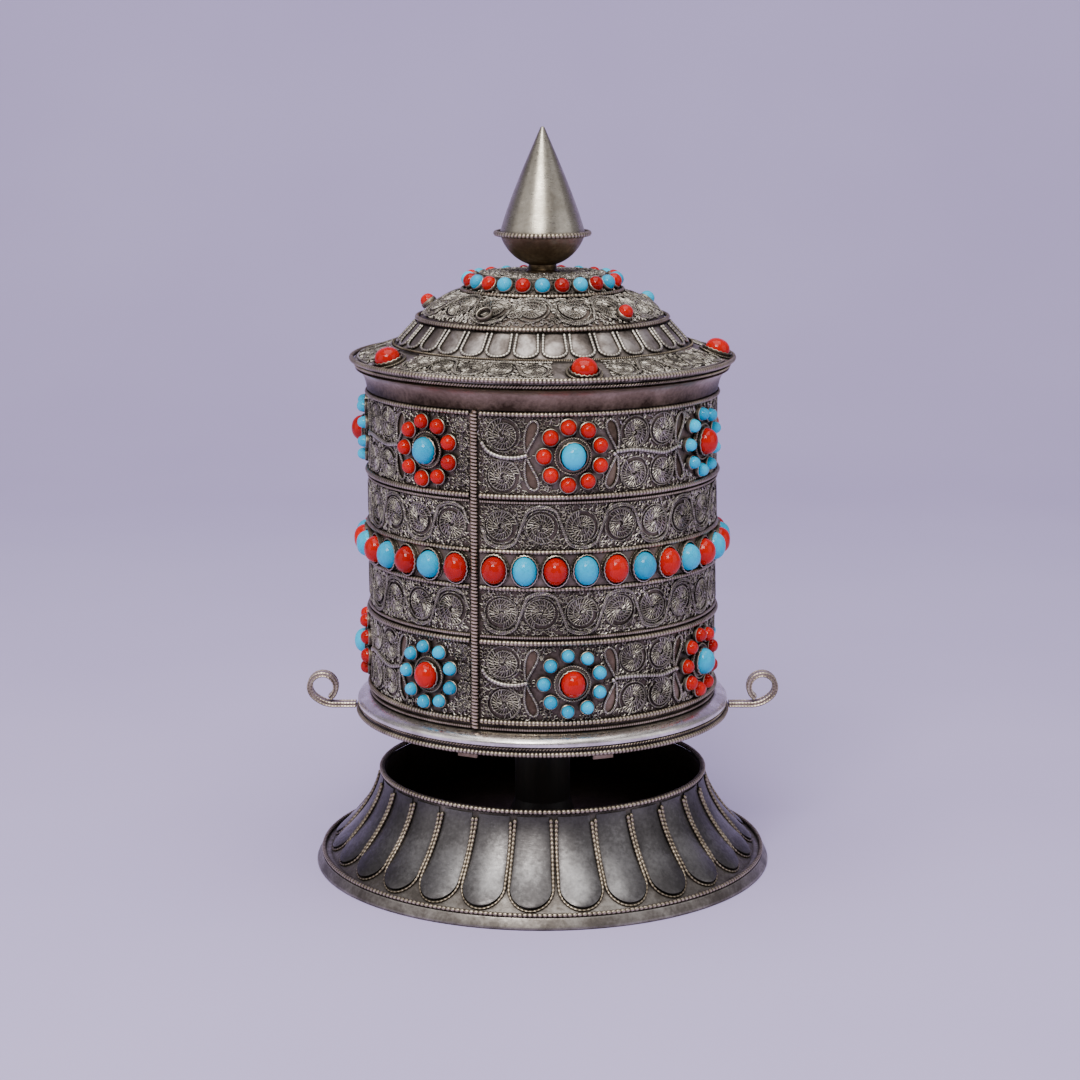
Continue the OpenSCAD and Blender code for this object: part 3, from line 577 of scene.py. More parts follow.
wirework = aged_metal(
    "silver_wirework", (0.016, 0.013, 0.010), (0.30, 0.267, 0.222), (0.82, 0.77, 0.69),
    (0.60, 0.40))
seam_metal = aged_metal(
    "seam_brown", (0.05, 0.034, 0.024), (0.34, 0.26, 0.185), (0.66, 0.54, 0.42),
    (0.6, 0.4))
# Brighter than the other silvers: partly polish from rubbing, partly a painted highlight on the drum's foot
# moulding
rubbed_silver = aged_metal(
    "rubbed_silver", (0.07, 0.058, 0.048), (0.35, 0.315, 0.28), (0.88, 0.83, 0.78),
    (0.48, 0.26), cloud=0.5)
ring_wire = aged_metal(
    "silver_ring_wire", (0.025, 0.018, 0.013), (0.19, 0.154, 0.110), (0.55, 0.47, 0.365),
    (0.58, 0.34))
stone_cup = aged_metal(
    "stone_cup_silver", (0.02, 0.015, 0.011), (0.21, 0.178, 0.135), (0.50, 0.44, 0.355),
    (0.58, 0.36))
ground = aged_metal(
    "silver_ground", (0.03, 0.023, 0.019), (0.165, 0.130, 0.108), (0.36, 0.29, 0.25),
    (0.62, 0.45))
petal_metal = aged_metal(
    "petal_silver", (0.028, 0.025, 0.024), (0.110, 0.103, 0.101), (0.365, 0.352, 0.345),
    (0.50, 0.30), cloud=0.34, dent=0.6)
lid_petal_metal = aged_metal(
    "lid_petal_silver", (0.05, 0.040, 0.034), (0.19, 0.160, 0.142), (0.54, 0.49, 0.46),
    (0.66, 0.44), cloud=1.0, dent=1.0)
foot_metal = aged_metal(
    "foot_silver", (0.04, 0.034, 0.029), (0.135, 0.118, 0.103), (0.41, 0.38, 0.345),
    (0.6, 0.36), cloud=0.5)
cone_silver = aged_metal(
    "cone_silver", (0.06, 0.050, 0.038), (0.285, 0.255, 0.205), (0.54, 0.50, 0.42),
    (0.42, 0.26), cloud=0.5, dent=0.3)
mauve_metal = aged_metal(
    "tarnished_cove", (0.035, 0.023, 0.015), (0.20, 0.148, 0.098), (0.46, 0.372, 0.27),
    (0.5, 0.30))
handle_metal = aged_metal(
    "handle_brass", (0.06, 0.04, 0.028), (0.42, 0.345, 0.265), (0.74, 0.66, 0.55),
    (0.55, 0.34), cloud=0.45)
old_brass = aged_metal(
    "dull_brass", (0.028, 0.019, 0.010), (0.165, 0.115, 0.066), (0.46, 0.37, 0.24),
    (0.5, 0.3))
yellow_brass = aged_metal(
    "turned_brass", (0.12, 0.08, 0.03), (0.50, 0.36, 0.14), (0.75, 0.58, 0.28),
    (0.4, 0.22))
steel = aged_metal(
    "drawn_steel", (0.08, 0.08, 0.085), (0.33, 0.33, 0.34), (0.60, 0.60, 0.60),
    (0.4, 0.22))
# Nearly black: painted shade for surfaces inside the stand, the drum and under the lid
inside_black = aged_metal(
    "inside_black", (0.02, 0.013, 0.010), (0.09, 0.066, 0.052), (0.16, 0.12, 0.10),
    (0.75, 0.6))
coral = polished_stone(
    "coral_red", (0.27, 0.003, 0.001), (0.67, 0.007, 0.001), (0.20, 0.003, 0.002),
    0.2, 0.10)
turquoise = polished_stone(
    "turquoise_blue", (0.0, 0.26, 0.46), (0.0, 0.64, 0.95), (0.02, 0.22, 0.24),
    0.4, 0.10)
mantra_paper = paper()
yellow_silk = woven("yellow_silk", (0.66, 0.40, 0.08), (0.38, 0.20, 0.03), 500.0)
red_cord = woven("red_cord", (0.45, 0.05, 0.04), (0.18, 0.02, 0.02), 900.0)
post_wood = dark_wood()


# ---- Flat filigree patterns ----

# Radius of a full-size scroll, and of the wires it is made of
SCROLL_R = 5.2
SCROLL_WIRE = 0.34
BARB_WIRE = 0.25
TWIST = dict(sides=4, lobes=2, depth=0.35)


def flat_line(line, height):
    """A flat line raised to a height."""
    line = np.asarray(line, float)
    return np.column_stack([line, np.full(len(line), height)])


def scroll(radius, start=0.0, windings=2.55, pull=0.335, rim=True, spacing=1.05):
    """Twisted wire that winds in from its rim, with curved barbs between its turns."""
    pattern = Shape()
    angle = np.linspace(0, windings * FULL, int(windings * 40))
    line = polar(radius * (1 - pull * angle / FULL), start + angle)
    wire(pattern, flat_line(spaced(line, 0.22), 0.45), SCROLL_WIRE, **TWIST, pitch=1.1)
    if rim:
        circle = flat_line(arc((0, 0), radius, 0, 360, int(radius * 28))[:-1], 0.4)
        wire(pattern, circle, SCROLL_WIRE * 0.9, **TWIST, pitch=1.0, closed=True)
    t = np.linspace(0.08, 0.94, 4)
    root = 0.0
    while root < (windings - 0.4) * FULL:
        here = radius * (1 - pull * root / FULL)
        barb = polar(here - radius * pull * t, start + root + 0.75 * spacing / here * t ** 1.6)
        wire(pattern, flat_line(barb, between(0.24, 0.44)), BARB_WIRE, sides=4, tone=between(0.6, 1.0))
        root += between(0.85, 1.15) * spacing / max(here, 0.5)
    return pattern.close()


def curl(radius):
    """Small plain curl that fills a corner."""
    pattern = Shape()
    angle = np.linspace(0, 1.6 * FULL, 28)
    line = polar(radius * (1 - 0.5 * angle / FULL), angle)
    wire(pattern, flat_line(line, 0.3), 0.26, sides=4, lobes=2, depth=0.3, pitch=1.0, tone=0.9)
    return pattern.close()


def hook(radius, sweep):
    """Short bent end of wire; many of them fill the ground between scrolls."""
    pattern = Shape()
    line = arc((0, 0), radius, 0, sweep, 6) * (1, 1.15)
    wire(pattern, flat_line(line, between(0.18, 0.36)), 0.2, sides=4, tone=between(0.55, 0.95))
    return pattern.close()


def granule(radius):
    """Small melted ball."""
    return turned_solid([[0, -radius], *arc((0, 0), radius, -60, 60, 4), [0, radius]], 10, 0.95)


def small_scroll(radius):
    """Scroll with fewer windings and no rim wire."""
    return scroll(radius, any_turn(), windings=1.7, pull=0.5, rim=False, spacing=0.95)


SCROLLS = [scroll(SCROLL_R, start=start) for start in (0.0, 2.0, 4.0, 5.2, 1.1)]
CURLS = [curl(radius) for radius in (1.0, 1.25, 1.5)]
SMALL_SCROLLS = [small_scroll(2.1) for k in range(5)]
HOOK_BENDS = ((0.45, 250), (0.6, 160), (0.5, 280), (0.75, 130), (0.55, 220))
HOOKS = [hook(radius, sweep) for radius, sweep in HOOK_BENDS]
GRANULE = granule(0.65)


def fill_curls(shape, surface, turn, v, places, size=1.0):
    """Lays small curls at places given as (u, v) around one point."""
    for u, up in places:
        radius = surface.section(v + up)[0]
        surface.stamp(shape, pick(CURLS), turn + u / radius, v + up, any_turn(), size * between(0.9, 1.15),
                      bool(random.integers(2)), wear=between(0.8, 1.1))


def fill_hooks(shape, surface, start, end, bottom, top, clear, spacing=1.05):
    """Scatters hooks over a band, but not in the ovals to keep clear.

    Each oval is (turn, v, half width, half height).
    """
    radius = surface.section((bottom + top) / 2)[0]
    columns = int((end - start) * radius / spacing)
    rows = max(1, round((top - bottom) / spacing))
    column, row = np.meshgrid(np.arange(columns), np.arange(rows))
    jitter = between(-0.35, 0.35, (2, rows, columns))
    turn = start + (column + 0.5 + jitter[0]) / columns * (end - start)
    v = bottom + (row + 0.5 + jitter[1]) / rows * (top - bottom)
    free = np.ones(turn.shape, bool)
    for clear_turn, clear_v, half_u, half_v in clear:
        away = (turn - clear_turn + math.pi) % FULL - math.pi
        free &= (away * radius / half_u) ** 2 + ((v - clear_v) / half_v) ** 2 > 1
    for place_turn, place_v in zip(turn[free], v[free]):
        surface.stamp(shape, pick(HOOKS), place_turn, place_v, any_turn(), between(0.85, 1.15),
                      wear=between(0.7, 1.1))


def running_scroll(shape, ground_fill, surface, v, half_height, start, end, count):
    """Row of scrolls on a ground of hooks, with a double stem that runs under one and over the next."""
    step = (end - start) / count
    radius = surface.section(v)[0]
    reach = half_height - 0.3
    size = min((reach - 1.0) / SCROLL_R, (step * radius / 2 - 0.95) / SCROLL_R)
    clear = []
    for i in range(count):
        middle = start + (i + 0.5) * step
        side = 1 if i % 2 else -1
        clear.append((middle, v, SCROLL_R * size + 0.4, SCROLL_R * size + 0.4))
        surface.stamp(shape, pick(SCROLLS), middle, v, between(-0.4, 0.4) + (math.pi if side > 0 else 0),
                      size, side > 0, wear=between(0.85, 1.1))
    fill_hooks(ground_fill, surface, start, end, v - half_height + 0.3, v + half_height - 0.3, clear, 0.95)
    across = np.linspace(-0.5, 0.5, 60)
    cap = np.sqrt(np.clip(reach ** 2 - (across * step * radius) ** 2, 0, None))
    cap = np.minimum(cap, (0.5 - np.abs(across)) * 5.5 * reach)
    sides = [1 if i % 2 else -1 for i in range(count)]
    for inset, tone in ((0.0, 1.0), (0.7, 0.85)):
        turns = np.concatenate([start + (i + 0.5 + across[:-1]) * step for i in range(count)])
        height = np.concatenate([side * cap[:-1] * (reach - inset * 0.8) / reach for side in sides])
        path = spaced(surface.at(turns + inset * 0.35 / radius, v + height, 0.55), 0.26)
        turn = np.arctan2(path[:, 0], -path[:, 1])
        up = outward(surface, turn, path[:, 2])
        wire(shape, path, 0.40, up, sides=5, lobes=2, depth=0.26, pitch=1.2, tone=tone)


def outward(surface, turn, z):
    """Direction off the surface at a turn and a height."""
    out_r, out_z = surface.section(surface.v_at(z))[2:]
    return np.stack([out_r * np.sin(turn), -out_r * np.cos(turn), out_z * np.ones_like(turn)], axis=1)


# ---- Surfaces that things are laid on ----

WALL = Turned([(DRUM_R + 0.05, z) for z in np.linspace(0, 200, 5)])
FLARE = Turned(bezier((FLARE_FOOT_R, FOOT_H), (RIM_R + 1.3, 17), (RIM_R, RIM_Z), 40))
COLLAR_TOP_R = 36.0
DOME_TOP_Z = low("crown_collar")[2]
FLANGE = Turned([(LID_EDGE_R, LID_EDGE_Z), (FLANGE_IN_R, FLANGE_TOP_Z)])
COLLAR = Turned([(FLANGE_IN_R - 0.2, FLANGE_TOP_Z), (COLLAR_TOP_R, COLLAR_TOP_Z)])
DOME = Turned(bezier((COLLAR_TOP_R, COLLAR_TOP_Z), (32.2, 169.8), (CROWN_FOOT_R, DOME_TOP_Z), 24))
CROWN = Turned([(CROWN_FOOT_R, DOME_TOP_Z), (CROWN_TOP_R, CROWN_TOP_Z)])


# ---- Stand ----

STAND_PETALS = solids("stand_petals")
PETAL_TOP_Z = high("stand_petals")[2]
PETAL_WIDE_Z = 8.6
PETAL_TIP_Z = 4.3
PETAL_TOP_HALF = 4.55
PETAL_WIDE_HALF = 5.8


def petal_side(grow, steps=18):
    """Half of a stand petal's outline as (half width, height), from its top to its tip."""
    wide_half = PETAL_WIDE_HALF + grow
    straight = np.linspace((PETAL_TOP_HALF + grow, PETAL_TOP_Z), (wide_half, PETAL_WIDE_Z), steps)
    angle = np.radians(np.linspace(0, 90, 11))[1:]
    round_end = np.column_stack([wide_half * np.cos(angle),
                                 PETAL_WIDE_Z - (PETAL_WIDE_Z - PETAL_TIP_Z + grow) * np.sin(angle)])
    return np.vstack([straight, round_end])


def stand_petals():
    """Crowned plates that stand proud of the flare at their tips, each with a painted highlight low in its
    middle.
    """
    side = petal_side(0.05)
    side[-1, 0] = 0.3
    across = np.concatenate([[-1], np.sin(np.linspace(-math.pi / 2, math.pi / 2, 15)), [1]])
    half = side[:, :1]
    rows_z = side[:, 1:]
    share = (PETAL_TOP_Z - rows_z) / (PETAL_TOP_Z - PETAL_TIP_Z)
    lift = 0.30 + 0.75 * np.clip((share - 0.45) / 0.5, 0, 1) ** 1.5
    crown = 0.55 * (1 - across ** 2)[None, :] * np.clip(half / PETAL_WIDE_HALF, 0, 1)
    height = lift + crown * (0.5 + 0.5 * share)
    height[:, [0, -1]] = 0.02
    height = np.vstack([height[:1] * 0 + 0.02, height, height[-1:] * 0 + 0.02])
    half = np.vstack([half[:1], half, half[-1:]])
    rows_z = np.vstack([rows_z[:1], rows_z, rows_z[-1:]])
    share = np.vstack([share[:1], share, share[-1:]])
    v = FLARE.v_at(rows_z)
    radius = FLARE.section(v)[0]
    # Bright patch low in the middle of each plate: a painted highlight
    tone_and_painted_light = 0.34 + 0.36 * np.exp(-((share - 0.66) / 0.26) ** 2) * (1 - 0.6 * across ** 2)[None, :]
    shape = Shape()
    for turn, *_ in STAND_PETALS:
        points = FLARE.at(turn + across[None, :] * half / radius, v, height)
        shape.add(points, grid(*height.shape), wear=tone_and_painted_light * between(0.75, 1.2), solid=False)
    piece("stand_petal_plates", shape, petal_metal, "stand", "dark_silver", "stand_petals")


def stand_petal_wires():
    """Twisted U-shaped wire around each petal."""
    shape = Shape()
    for turn, *_ in STAND_PETALS:
        side = petal_side(0.5, 2)
        top_left, top_right = between(-1.8, -0.4, 2)
        left = side * (-1, 1)
        left[0, 1] += top_left
        right = side[-2::-1].copy()
        right[-1, 1] += top_right
        line = spaced(np.vstack([left, right]), 0.24)
        v = FLARE.v_at(line[:, 1])
        radius = FLARE.section(v)[0]
        turns = turn + line[:, 0] / radius
        sunk = np.clip((PETAL_WIDE_Z + 1.5 - line[:, 1]) / 4, 0, 1)
        wire(shape, FLARE.at(turns, v, 0.60 - 0.40 * sunk), 0.58 - 0.2 * sunk[:, None],
             outward(FLARE, turns, line[:, 1]), sides=8, beads=1.25, bead_depth=0.30, tone=0.85)
    piece("stand_petal_twists", shape, ring_wire, "stand", "wire_silver", "stand_petal_wires")


def stand_shell():
    """Flared sheet, silver outside, with a nearly black lining just inside it that paints the shade in the
    hollow flare.
    """
    skin = 0.5
    worn_below_z = 10

    def sunk(depth, wear):
        return [(r - depth * out_r, z - depth * out_z, wear)
                for (r, z), (out_r, out_z) in zip(FLARE.outline, FLARE.out)]

    outer = [(r, z, 0.55 if z < worn_below_z else 0.35) for r, z in FLARE.outline]
    sheet = outer + sunk(skin, 0.2)[::-1]
    turned("stand_flare", sheet, 288, foot_metal, "stand", "dark_silver", "stand_shell")
    # Nearly black sheet just inside the flare: painted shade
    lining = sunk(0.9, 0.3) + sunk(skin + 0.02, 0.3)[::-1]
    turned("stand_lining", lining, 288, inside_black, "stand", "dark_silver")


def foot_ring():
    """Plain band with a rolled lip, turned in under the flare at its top."""
    lip = 0.35
    inner_r = FLARE_FOOT_R - 1.6
    outline = [
        (FOOT_R - 1.2, 0.0, 0.2), (FOOT_R - lip, 0.0, 0.6), (FOOT_R - 0.1, 0.12, 0.9), (FOOT_R, lip, 0.95),
        (FOOT_R - 0.25, 1.0, 0.5), (FOOT_R - 1.25, FOOT_H - 0.4, 0.6), (FOOT_R - 1.5, FOOT_H, 0.8),
        (inner_r, FOOT_H, 0.3), (inner_r, FOOT_H - SHEET, 0.2), (FOOT_R - 2.4, FOOT_H - SHEET, 0.2),
    ]
    turned("foot_band", outline, 384, foot_metal, "stand", "oxidised_silver", "foot_ring")


def ring(shape, r, z, radius, step=0.26, start=0.0, end=FULL, **looks):
    """Wire around the wheel's axis, all the way or from a start to an end."""
    closed = end - start > FULL - 1e-6
    turn = np.linspace(start, end, int((end - start) * r / step), endpoint=not closed)
    up = around(turn, 1.0, 0.0)
    wire(shape, around(turn, r, z), radius, up, closed=closed, **looks)


def stand_wires():
    """Beaded wires around the foot and on the open rim."""
    bead_r = 0.65
    foot = Shape()
    ring(foot, FOOT_R - 1.45 - bead_r, FOOT_H + bead_r, bead_r, sides=8, beads=1.4, bead_depth=0.3,
         step=0.2)
    piece("foot_beads", foot, ring_wire, "stand", "wire_silver", "foot_bead_wire")
    rim = Shape()
    ring(rim, RIM_R + 0.15, RIM_Z + RIM_WIRE_R + 0.03, RIM_WIRE_R, sides=10, beads=1.35, bead_depth=0.36,
         step=0.2)
    piece("rim_twist", rim, ring_wire, "stand", "wire_silver", "stand_rim_wire")


# ---- Drum ----

# Looks of the ring wires
HEAVY = dict(sides=8, beads=1.1, bead_depth=0.2, step=0.2)
RING_BEADS = dict(sides=8, beads=1.15, bead_depth=0.32, step=0.19)
THIN = dict(sides=6, beads=0.7, bead_depth=0.3, step=0.16)
# Room left beside the seam's wire, and the turns between which the wall is covered
SEAM_GAP = math.radians(1.6)
COVER_START = SEAM_TURN + SEAM_GAP
COVER_END = SEAM_TURN + FULL - SEAM_GAP


def beside(turn, distance):
    """Turn of a place that is a distance along the drum's wall from another."""
    return turn + distance / DRUM_R


def drum_shell():
    """Dark rolled sheet that the panels lie on."""
    outer_r, inner_r = DRUM_R + 0.05, DRUM_R - SHEET
    foot_z = DRUM_FLOOR_Z + SHEET
    outline = [(inner_r, foot_z, 0.3), (outer_r, foot_z, 0.3),
               (outer_r, WALL_TOP_Z, 0.5), (inner_r, WALL_TOP_Z, 0.5)]
    turned("drum_ground", outline, 360, ground, "drum", "oxidised_silver", "drum_wall")


def drum_foot_flange():
    """Bright round moulding over a shallow cove; its brightness is partly polish and partly a painted
    highlight.
    """
    inner_r, top_z, bottom_z = DRUM_R + 0.1, 52.5, 46.5
    bulge = bezier((DRUM_R + 1.1, top_z), (56.4, 51.6), (55.6, 49.4), 16)
    outline = [
        (inner_r, top_z, 0.3), (DRUM_R + 0.9, top_z + 0.02, 0.35), *[(r, z, 0.85) for r, z in bulge],
        (54.6, 49.25, 0.4), (54.0, 49.2, 0.2), (53.7, 48.6, 0.2), (54.1, bottom_z, 0.3),
        (inner_r, bottom_z, 0.2),
    ]
    turned("foot_moulding", outline, 384, rubbed_silver, "drum", "bright_silver", "drum_base_flange")
    wires = Shape()
    ring(wires, 54.9, 48.7, 0.6, sides=8, lobes=2, depth=0.42, pitch=1.9)
    ring(wires, 55.45, 47.2, 0.8, **RING_BEADS)
    piece("foot_moulding_wires", wires, ring_wire, "drum", "wire_silver", "base_flange_wires")


def drum_mouth():
    """Plain flared cove, dark at its foot, with a fine dotted line around it."""
    foot, bend_at, edge = (51.8, WALL_TOP_Z - 1), (52.2, WALL_TOP_Z + 3.8), (55.1, WALL_TOP_Z + 5)
    steps = 20
    outer = bezier(foot, bend_at, edge, steps)
    t = np.linspace(0, 1, steps + 1)[:, None]
    inner = (outer + np.array([-0.75, 0.5]) * t + np.array([-0.77, 0.9]) * (1 - t))[::-1]
    outline = [(DRUM_R + 0.1, foot[1], 0.05)]
    outline += [(r, z, 0.04 + 0.9 * k / steps) for k, (r, z) in enumerate(outer)]
    outline += [(r, z, 0.3) for r, z in inner]
    turned("mouth_cove", outline, 384, mauve_metal, "drum", "mauve_metal", "drum_mouth_cove")
    dots = Shape()
    ring(dots, foot[0] + 0.05, foot[1] + 1.9, 0.24, sides=6, beads=0.95, bead_depth=0.6, step=0.15,
         tone=0.6)
    piece("mouth_cove_dots", dots, ring_wire, "drum", "wire_silver")


def drum_wires():
    """Beaded wires between the panels, which stop at the seam, and the twisted wire on the mouth."""
    upper = Shape()
    lower = Shape()
    rows = (
        (upper, HIGHEST_RING_Z, 0.73, 0.72, RING_BEADS), (upper, UPPER_PAIR_Z, 0.83, 0.8, HEAVY),
        (upper, UPPER_SCROLL_Z, 0.53, 0.5, THIN), (upper, UPPER_BELT_Z, 0.73, 0.7, HEAVY),
        (lower, LOWER_BELT_Z, 0.73, 0.7, HEAVY), (lower, LOWER_SCROLL_Z, 0.53, 0.5, THIN),
        (lower, LOWER_PAIR_Z, 0.83, 0.8, HEAVY), (lower, LOWEST_RING_Z, 0.83, 0.8, RING_BEADS),
        (lower, LOWEST_RING_Z - 2.1, 0.53, 0.5, THIN),
    )
    for shape, z, off_wall, radius, looks in rows:
        ring(shape, DRUM_R + off_wall, z, radius, start=COVER_START, end=COVER_END, **looks)
    ring(upper, 54.9, WALL_TOP_Z + 6.13, 0.6, sides=8, lobes=2, depth=0.4, pitch=1.8)
    piece("ring_wires_upper", upper, ring_wire, "drum", "wire_silver", "ring_wires")
    piece("ring_wires_lower", lower, ring_wire, "drum", "wire_silver")


def seam():
    """Wire coiled tightly around a core, from the drum's foot to its mouth."""
    bottom, top = low("seam_wire")[2], high("seam_wire")[2]
    coil_r, wire_r, pitch = 0.66, 0.42, 0.98
    turns = (top - bottom - 2 * wire_r) / pitch
    angle = np.linspace(0, turns * FULL, int(turns * 14))
    z = bottom + wire_r + pitch * angle / FULL
    centre_r = DRUM_R + 1.13
    side = np.array([math.cos(SEAM_TURN), math.sin(SEAM_TURN), 0])
    out = np.array([math.sin(SEAM_TURN), -math.cos(SEAM_TURN), 0])
    spoke = np.cos(angle)[:, None] * side + np.sin(angle)[:, None] * out
    shape = Shape()
    wire(shape, centre_r * out + coil_r * spoke + np.outer(z, [0, 0, 1]), wire_r, spoke, sides=6)
    core = np.linspace(bottom, top, 30)
    wire(shape, centre_r * out + np.outer(core, [0, 0, 1]), coil_r - 0.2, out, sides=12, tone=0.3)
    piece("seam_coil", shape, seam_metal, "drum", "wire_silver", "seam_wire")


def scroll_bands():
    """Two bands of running scrolls, one above the belt of stones and one below it."""
    start = SEAM_TURN + SEAM_GAP * 1.3
    end = SEAM_TURN + FULL - SEAM_GAP * 1.3
    for name, bottom, top in (("upper_scroll_filigree", UPPER_BELT_Z, UPPER_SCROLL_Z),
                              ("lower_scroll_filigree", LOWER_SCROLL_Z, LOWER_BELT_Z)):
        shape, hooks = Shape(), Shape()
        running_scroll(shape, hooks, WALL, (bottom + top) / 2, (top - bottom) / 2 - 0.6, start, end, 28)
        piece(name + "_wires", shape, wirework, "drum", "filigree", name)
        piece(name + "_hooks", hooks, wirework, "drum", "filigree")


# Places of leaves are given as (u, v) from the middle of their flower
FLOWER_R = 10.9
LEAF = [(12.9, 0.6), (12.0, 2.2), (10.9, 4.2), (9.8, 6.4), (9.5, 8.6),
        (10.7, 9.7), (12.3, 8.6), (13.2, 6.0), (13.3, 3.0)]
LEAF_MIDDLE = (11.4, 5.4)
LEAF_HALF = (2.4, 4.9)
STEM_JOIN = 12.6


def leaf(shape, plates, turn, v, side, level):
    """Teardrop of twisted wire around a plain plate, which points to the end of the vine."""
    line = rounded(np.array(LEAF) * (side, level), 8, closed=True)
    line += between(-0.15, 0.15, 2)
    line = spaced(line, 0.25, closed=True)
    pattern = Shape()
    wire(pattern, flat_line(line, 0.5), 0.40, sides=6, lobes=2, depth=0.2, pitch=1.2, closed=True)
    WALL.stamp(shape, pattern, turn, v)
    middle = line.mean(0)
    edge = np.arange(len(line))
    plate = Shape()
    plate.add(np.vstack([flat_line(line, 0.12), [*middle, 0.3]]),
              tris=np.column_stack([edge, (edge + 1) % len(line), np.full(len(line), len(line))]),
              wear=between(0.15, 0.5), solid=False)
    WALL.stamp(plates, plate, turn, v)


def vine(shape, turn, v, points):
    """Thick beaded stem."""
    pattern = Shape()
    line = spaced(rounded(points, 10), 0.24)
    wire(pattern, flat_line(line, 0.66), 0.62, sides=8, beads=0.95, bead_depth=0.09, tone=0.85)
    WALL.stamp(shape, pattern, turn, v)


def flower_gap(shape, turn, v, half):
    """Wirework between two flowers: a vine with a pair of scrolls above it and a pair below it."""
    join = half - STEM_JOIN
    wave = between(0.5, 1.0)
    vine(shape, turn, v, [(-join - 0.3, 0.6), (-join * 0.5, wave), (0, 0),
                          (join * 0.5, -wave), (join + 0.3, 0.2)])
    reach = join / 2 - 0.5
    clear = []
    for side in (-1, 1):
        place = beside(turn, side * reach)
        for height in (v - 5.75, v + 5.75):
            WALL.stamp(shape, pick(SCROLLS), place, height, any_turn(), 4.55 / SCROLL_R, side > 0,
                       wear=between(0.85, 1.15))
            clear.append((place, height, 4.8, 4.8))
        WALL.fix(shape, GRANULE, beside(turn, side * (join + 0.6)), v, 0.5)
    return clear


def flower_centres():
    """The solids of the flowers' large middle stones."""
    stones = solids("rosette_corals") + solids("rosette_turquoises")
    return [place for place in stones if place[3] > LARGE_STONE_WIDTH]


def flower_surround(shape, plates, turn, v, sides):
    """Leaves beside a flower; gives the places that stay clear of hooks."""
    clear = [(turn, v, FLOWER_R - 0.8, FLOWER_R - 0.8)]
    for side in sides:
        for level in (-1, 1):
            leaf(shape, plates, turn, v, side, level)
            clear.append((beside(turn, side * LEAF_MIDDLE[0]), v + level * LEAF_MIDDLE[1], *LEAF_HALF))
    fill_curls(shape, WALL, turn, v, [(0, 6.2), (4.6, -4.8), (-4.6, -4.8), (-5, 3.6), (5, 3.6)], 0.9)
    return clear


def flower_bands():
    """Upper and lower panels of flowers, leaves, vines and scrolls."""
    centres = flower_centres()
    plates = Shape()
    for name in ("upper_flower_filigree", "lower_flower_filigree"):
        v = (low(name)[2] + high(name)[2]) / 2
        turns = sorted((turn - SEAM_TURN) % FULL + SEAM_TURN for turn, _, z, _ in centres if abs(z - v) < 5)
        shape, hooks = Shape(), Shape()
        clear = []
        for k, turn in enumerate(turns):
            last = k == len(turns) - 1
            clear += flower_surround(shape, plates, turn, v, (-1,) if last else (-1, 1))
            if not last:
                clear += flower_gap(shape, (turn + turns[k + 1]) / 2, v, (turns[k + 1] - turn) / 2 * DRUM_R)
        clear += after_seam(shape, turns[0], v)
        before_seam(shape, turns[-1], v)
        fill_hooks(hooks, WALL, COVER_START, COVER_END, low(name)[2], high(name)[2], clear)
        piece(name + "_wires", shape, wirework, "drum", "filigree", name)
        piece(name + "_hooks", hooks, wirework, "drum", "filigree")
    piece("leaf_plates", plates, mauve_metal, "drum", "oxidised_silver")


def after_seam(shape, turn, v):
    """Panel from the seam to the first flower: a scroll above and one below a vine that sweeps down."""
    room = (turn - SEAM_TURN) * DRUM_R
    start = -room + 2.0
    vine(shape, turn, v, [(start, 3.6), (start + 2.0, 1.0), (start + 5.5, -0.4),
                          (start + 9.5, -0.6), (-12.5, 0.1)])
    place = beside(turn, start + 6.2)
    clear = []
    for level in (-1, 1):
        height = v + level * 5.9 - 0.2
        WALL.stamp(shape, pick(SCROLLS), place, height, any_turn(), 4.8 / SCROLL_R)
        clear.append((place, height, 5.0, 5.0))
    WALL.fix(shape, GRANULE, beside(turn, -12.8), v, 0.5)
    return clear


def before_seam(shape, turn, v):
    """Narrow panel from the last flower to the seam: a stack of small scrolls."""
    room = (SEAM_TURN + FULL - turn) * DRUM_R
    place = beside(turn, room - 3.8)
    for level in (-7.8, -2.6, 2.6, 7.8):
        WALL.stamp(shape, pick(SMALL_SCROLLS), place, v + level, any_turn(), 1.1)


# ---- Stones ----

# Height off the wall at which cups and stones stand
FACE_H = 0.51
# A CAD stone wider than this is one of the large ones
LARGE_STONE_WIDTH = 6
STONE_KINDS = ((coral, "coral"), (turquoise, "turquoise"))


def cabochon(d, girdle, dome):
    """Cabochon on h = 0 with a soft-edged girdle and a round dome."""
    r = d / 2
    angle = np.radians(np.linspace(8, 82, 7))
    top = np.column_stack([r * np.cos(angle) ** 0.85, girdle + dome * np.sin(angle)])
    foot = [(0, 0), (r * 0.93, 0), (r, girdle * 0.5), (r, girdle)]
    return turned_solid([*foot, *top, (0, girdle + dome)], 28)


def scalloped(profile, wave, lip_over, dip, half_width=0.0, half_height=0.0):
    """Wall around a stone: an oval plus a profile of (r, h, wear), with waves in its lip only."""
    angle = np.linspace(0, FULL, len(wave), endpoint=False)
    rows = []
    wear = []
    for r, h, tone_and_painted_light in profile:
        scallop = wave * (h > lip_over)
        across = (half_width + (r + scallop)) * np.cos(angle)
        up = (half_height + (r + scallop)) * np.sin(angle)
        rows.append(np.column_stack([across, up, h - dip * scallop]))
        wear.append(np.full(len(wave), tone_and_painted_light))
    shape = Shape()
    shape.add(np.array(rows), grid(len(profile), len(wave), True, True), wear=np.array(wear))
    return shape


def waves(segments, count, height):
    """Heights of a number of waves around a circle."""
    angle = np.linspace(0, FULL, segments, endpoint=False)
    return height * np.abs(np.sin(count * angle / 2))


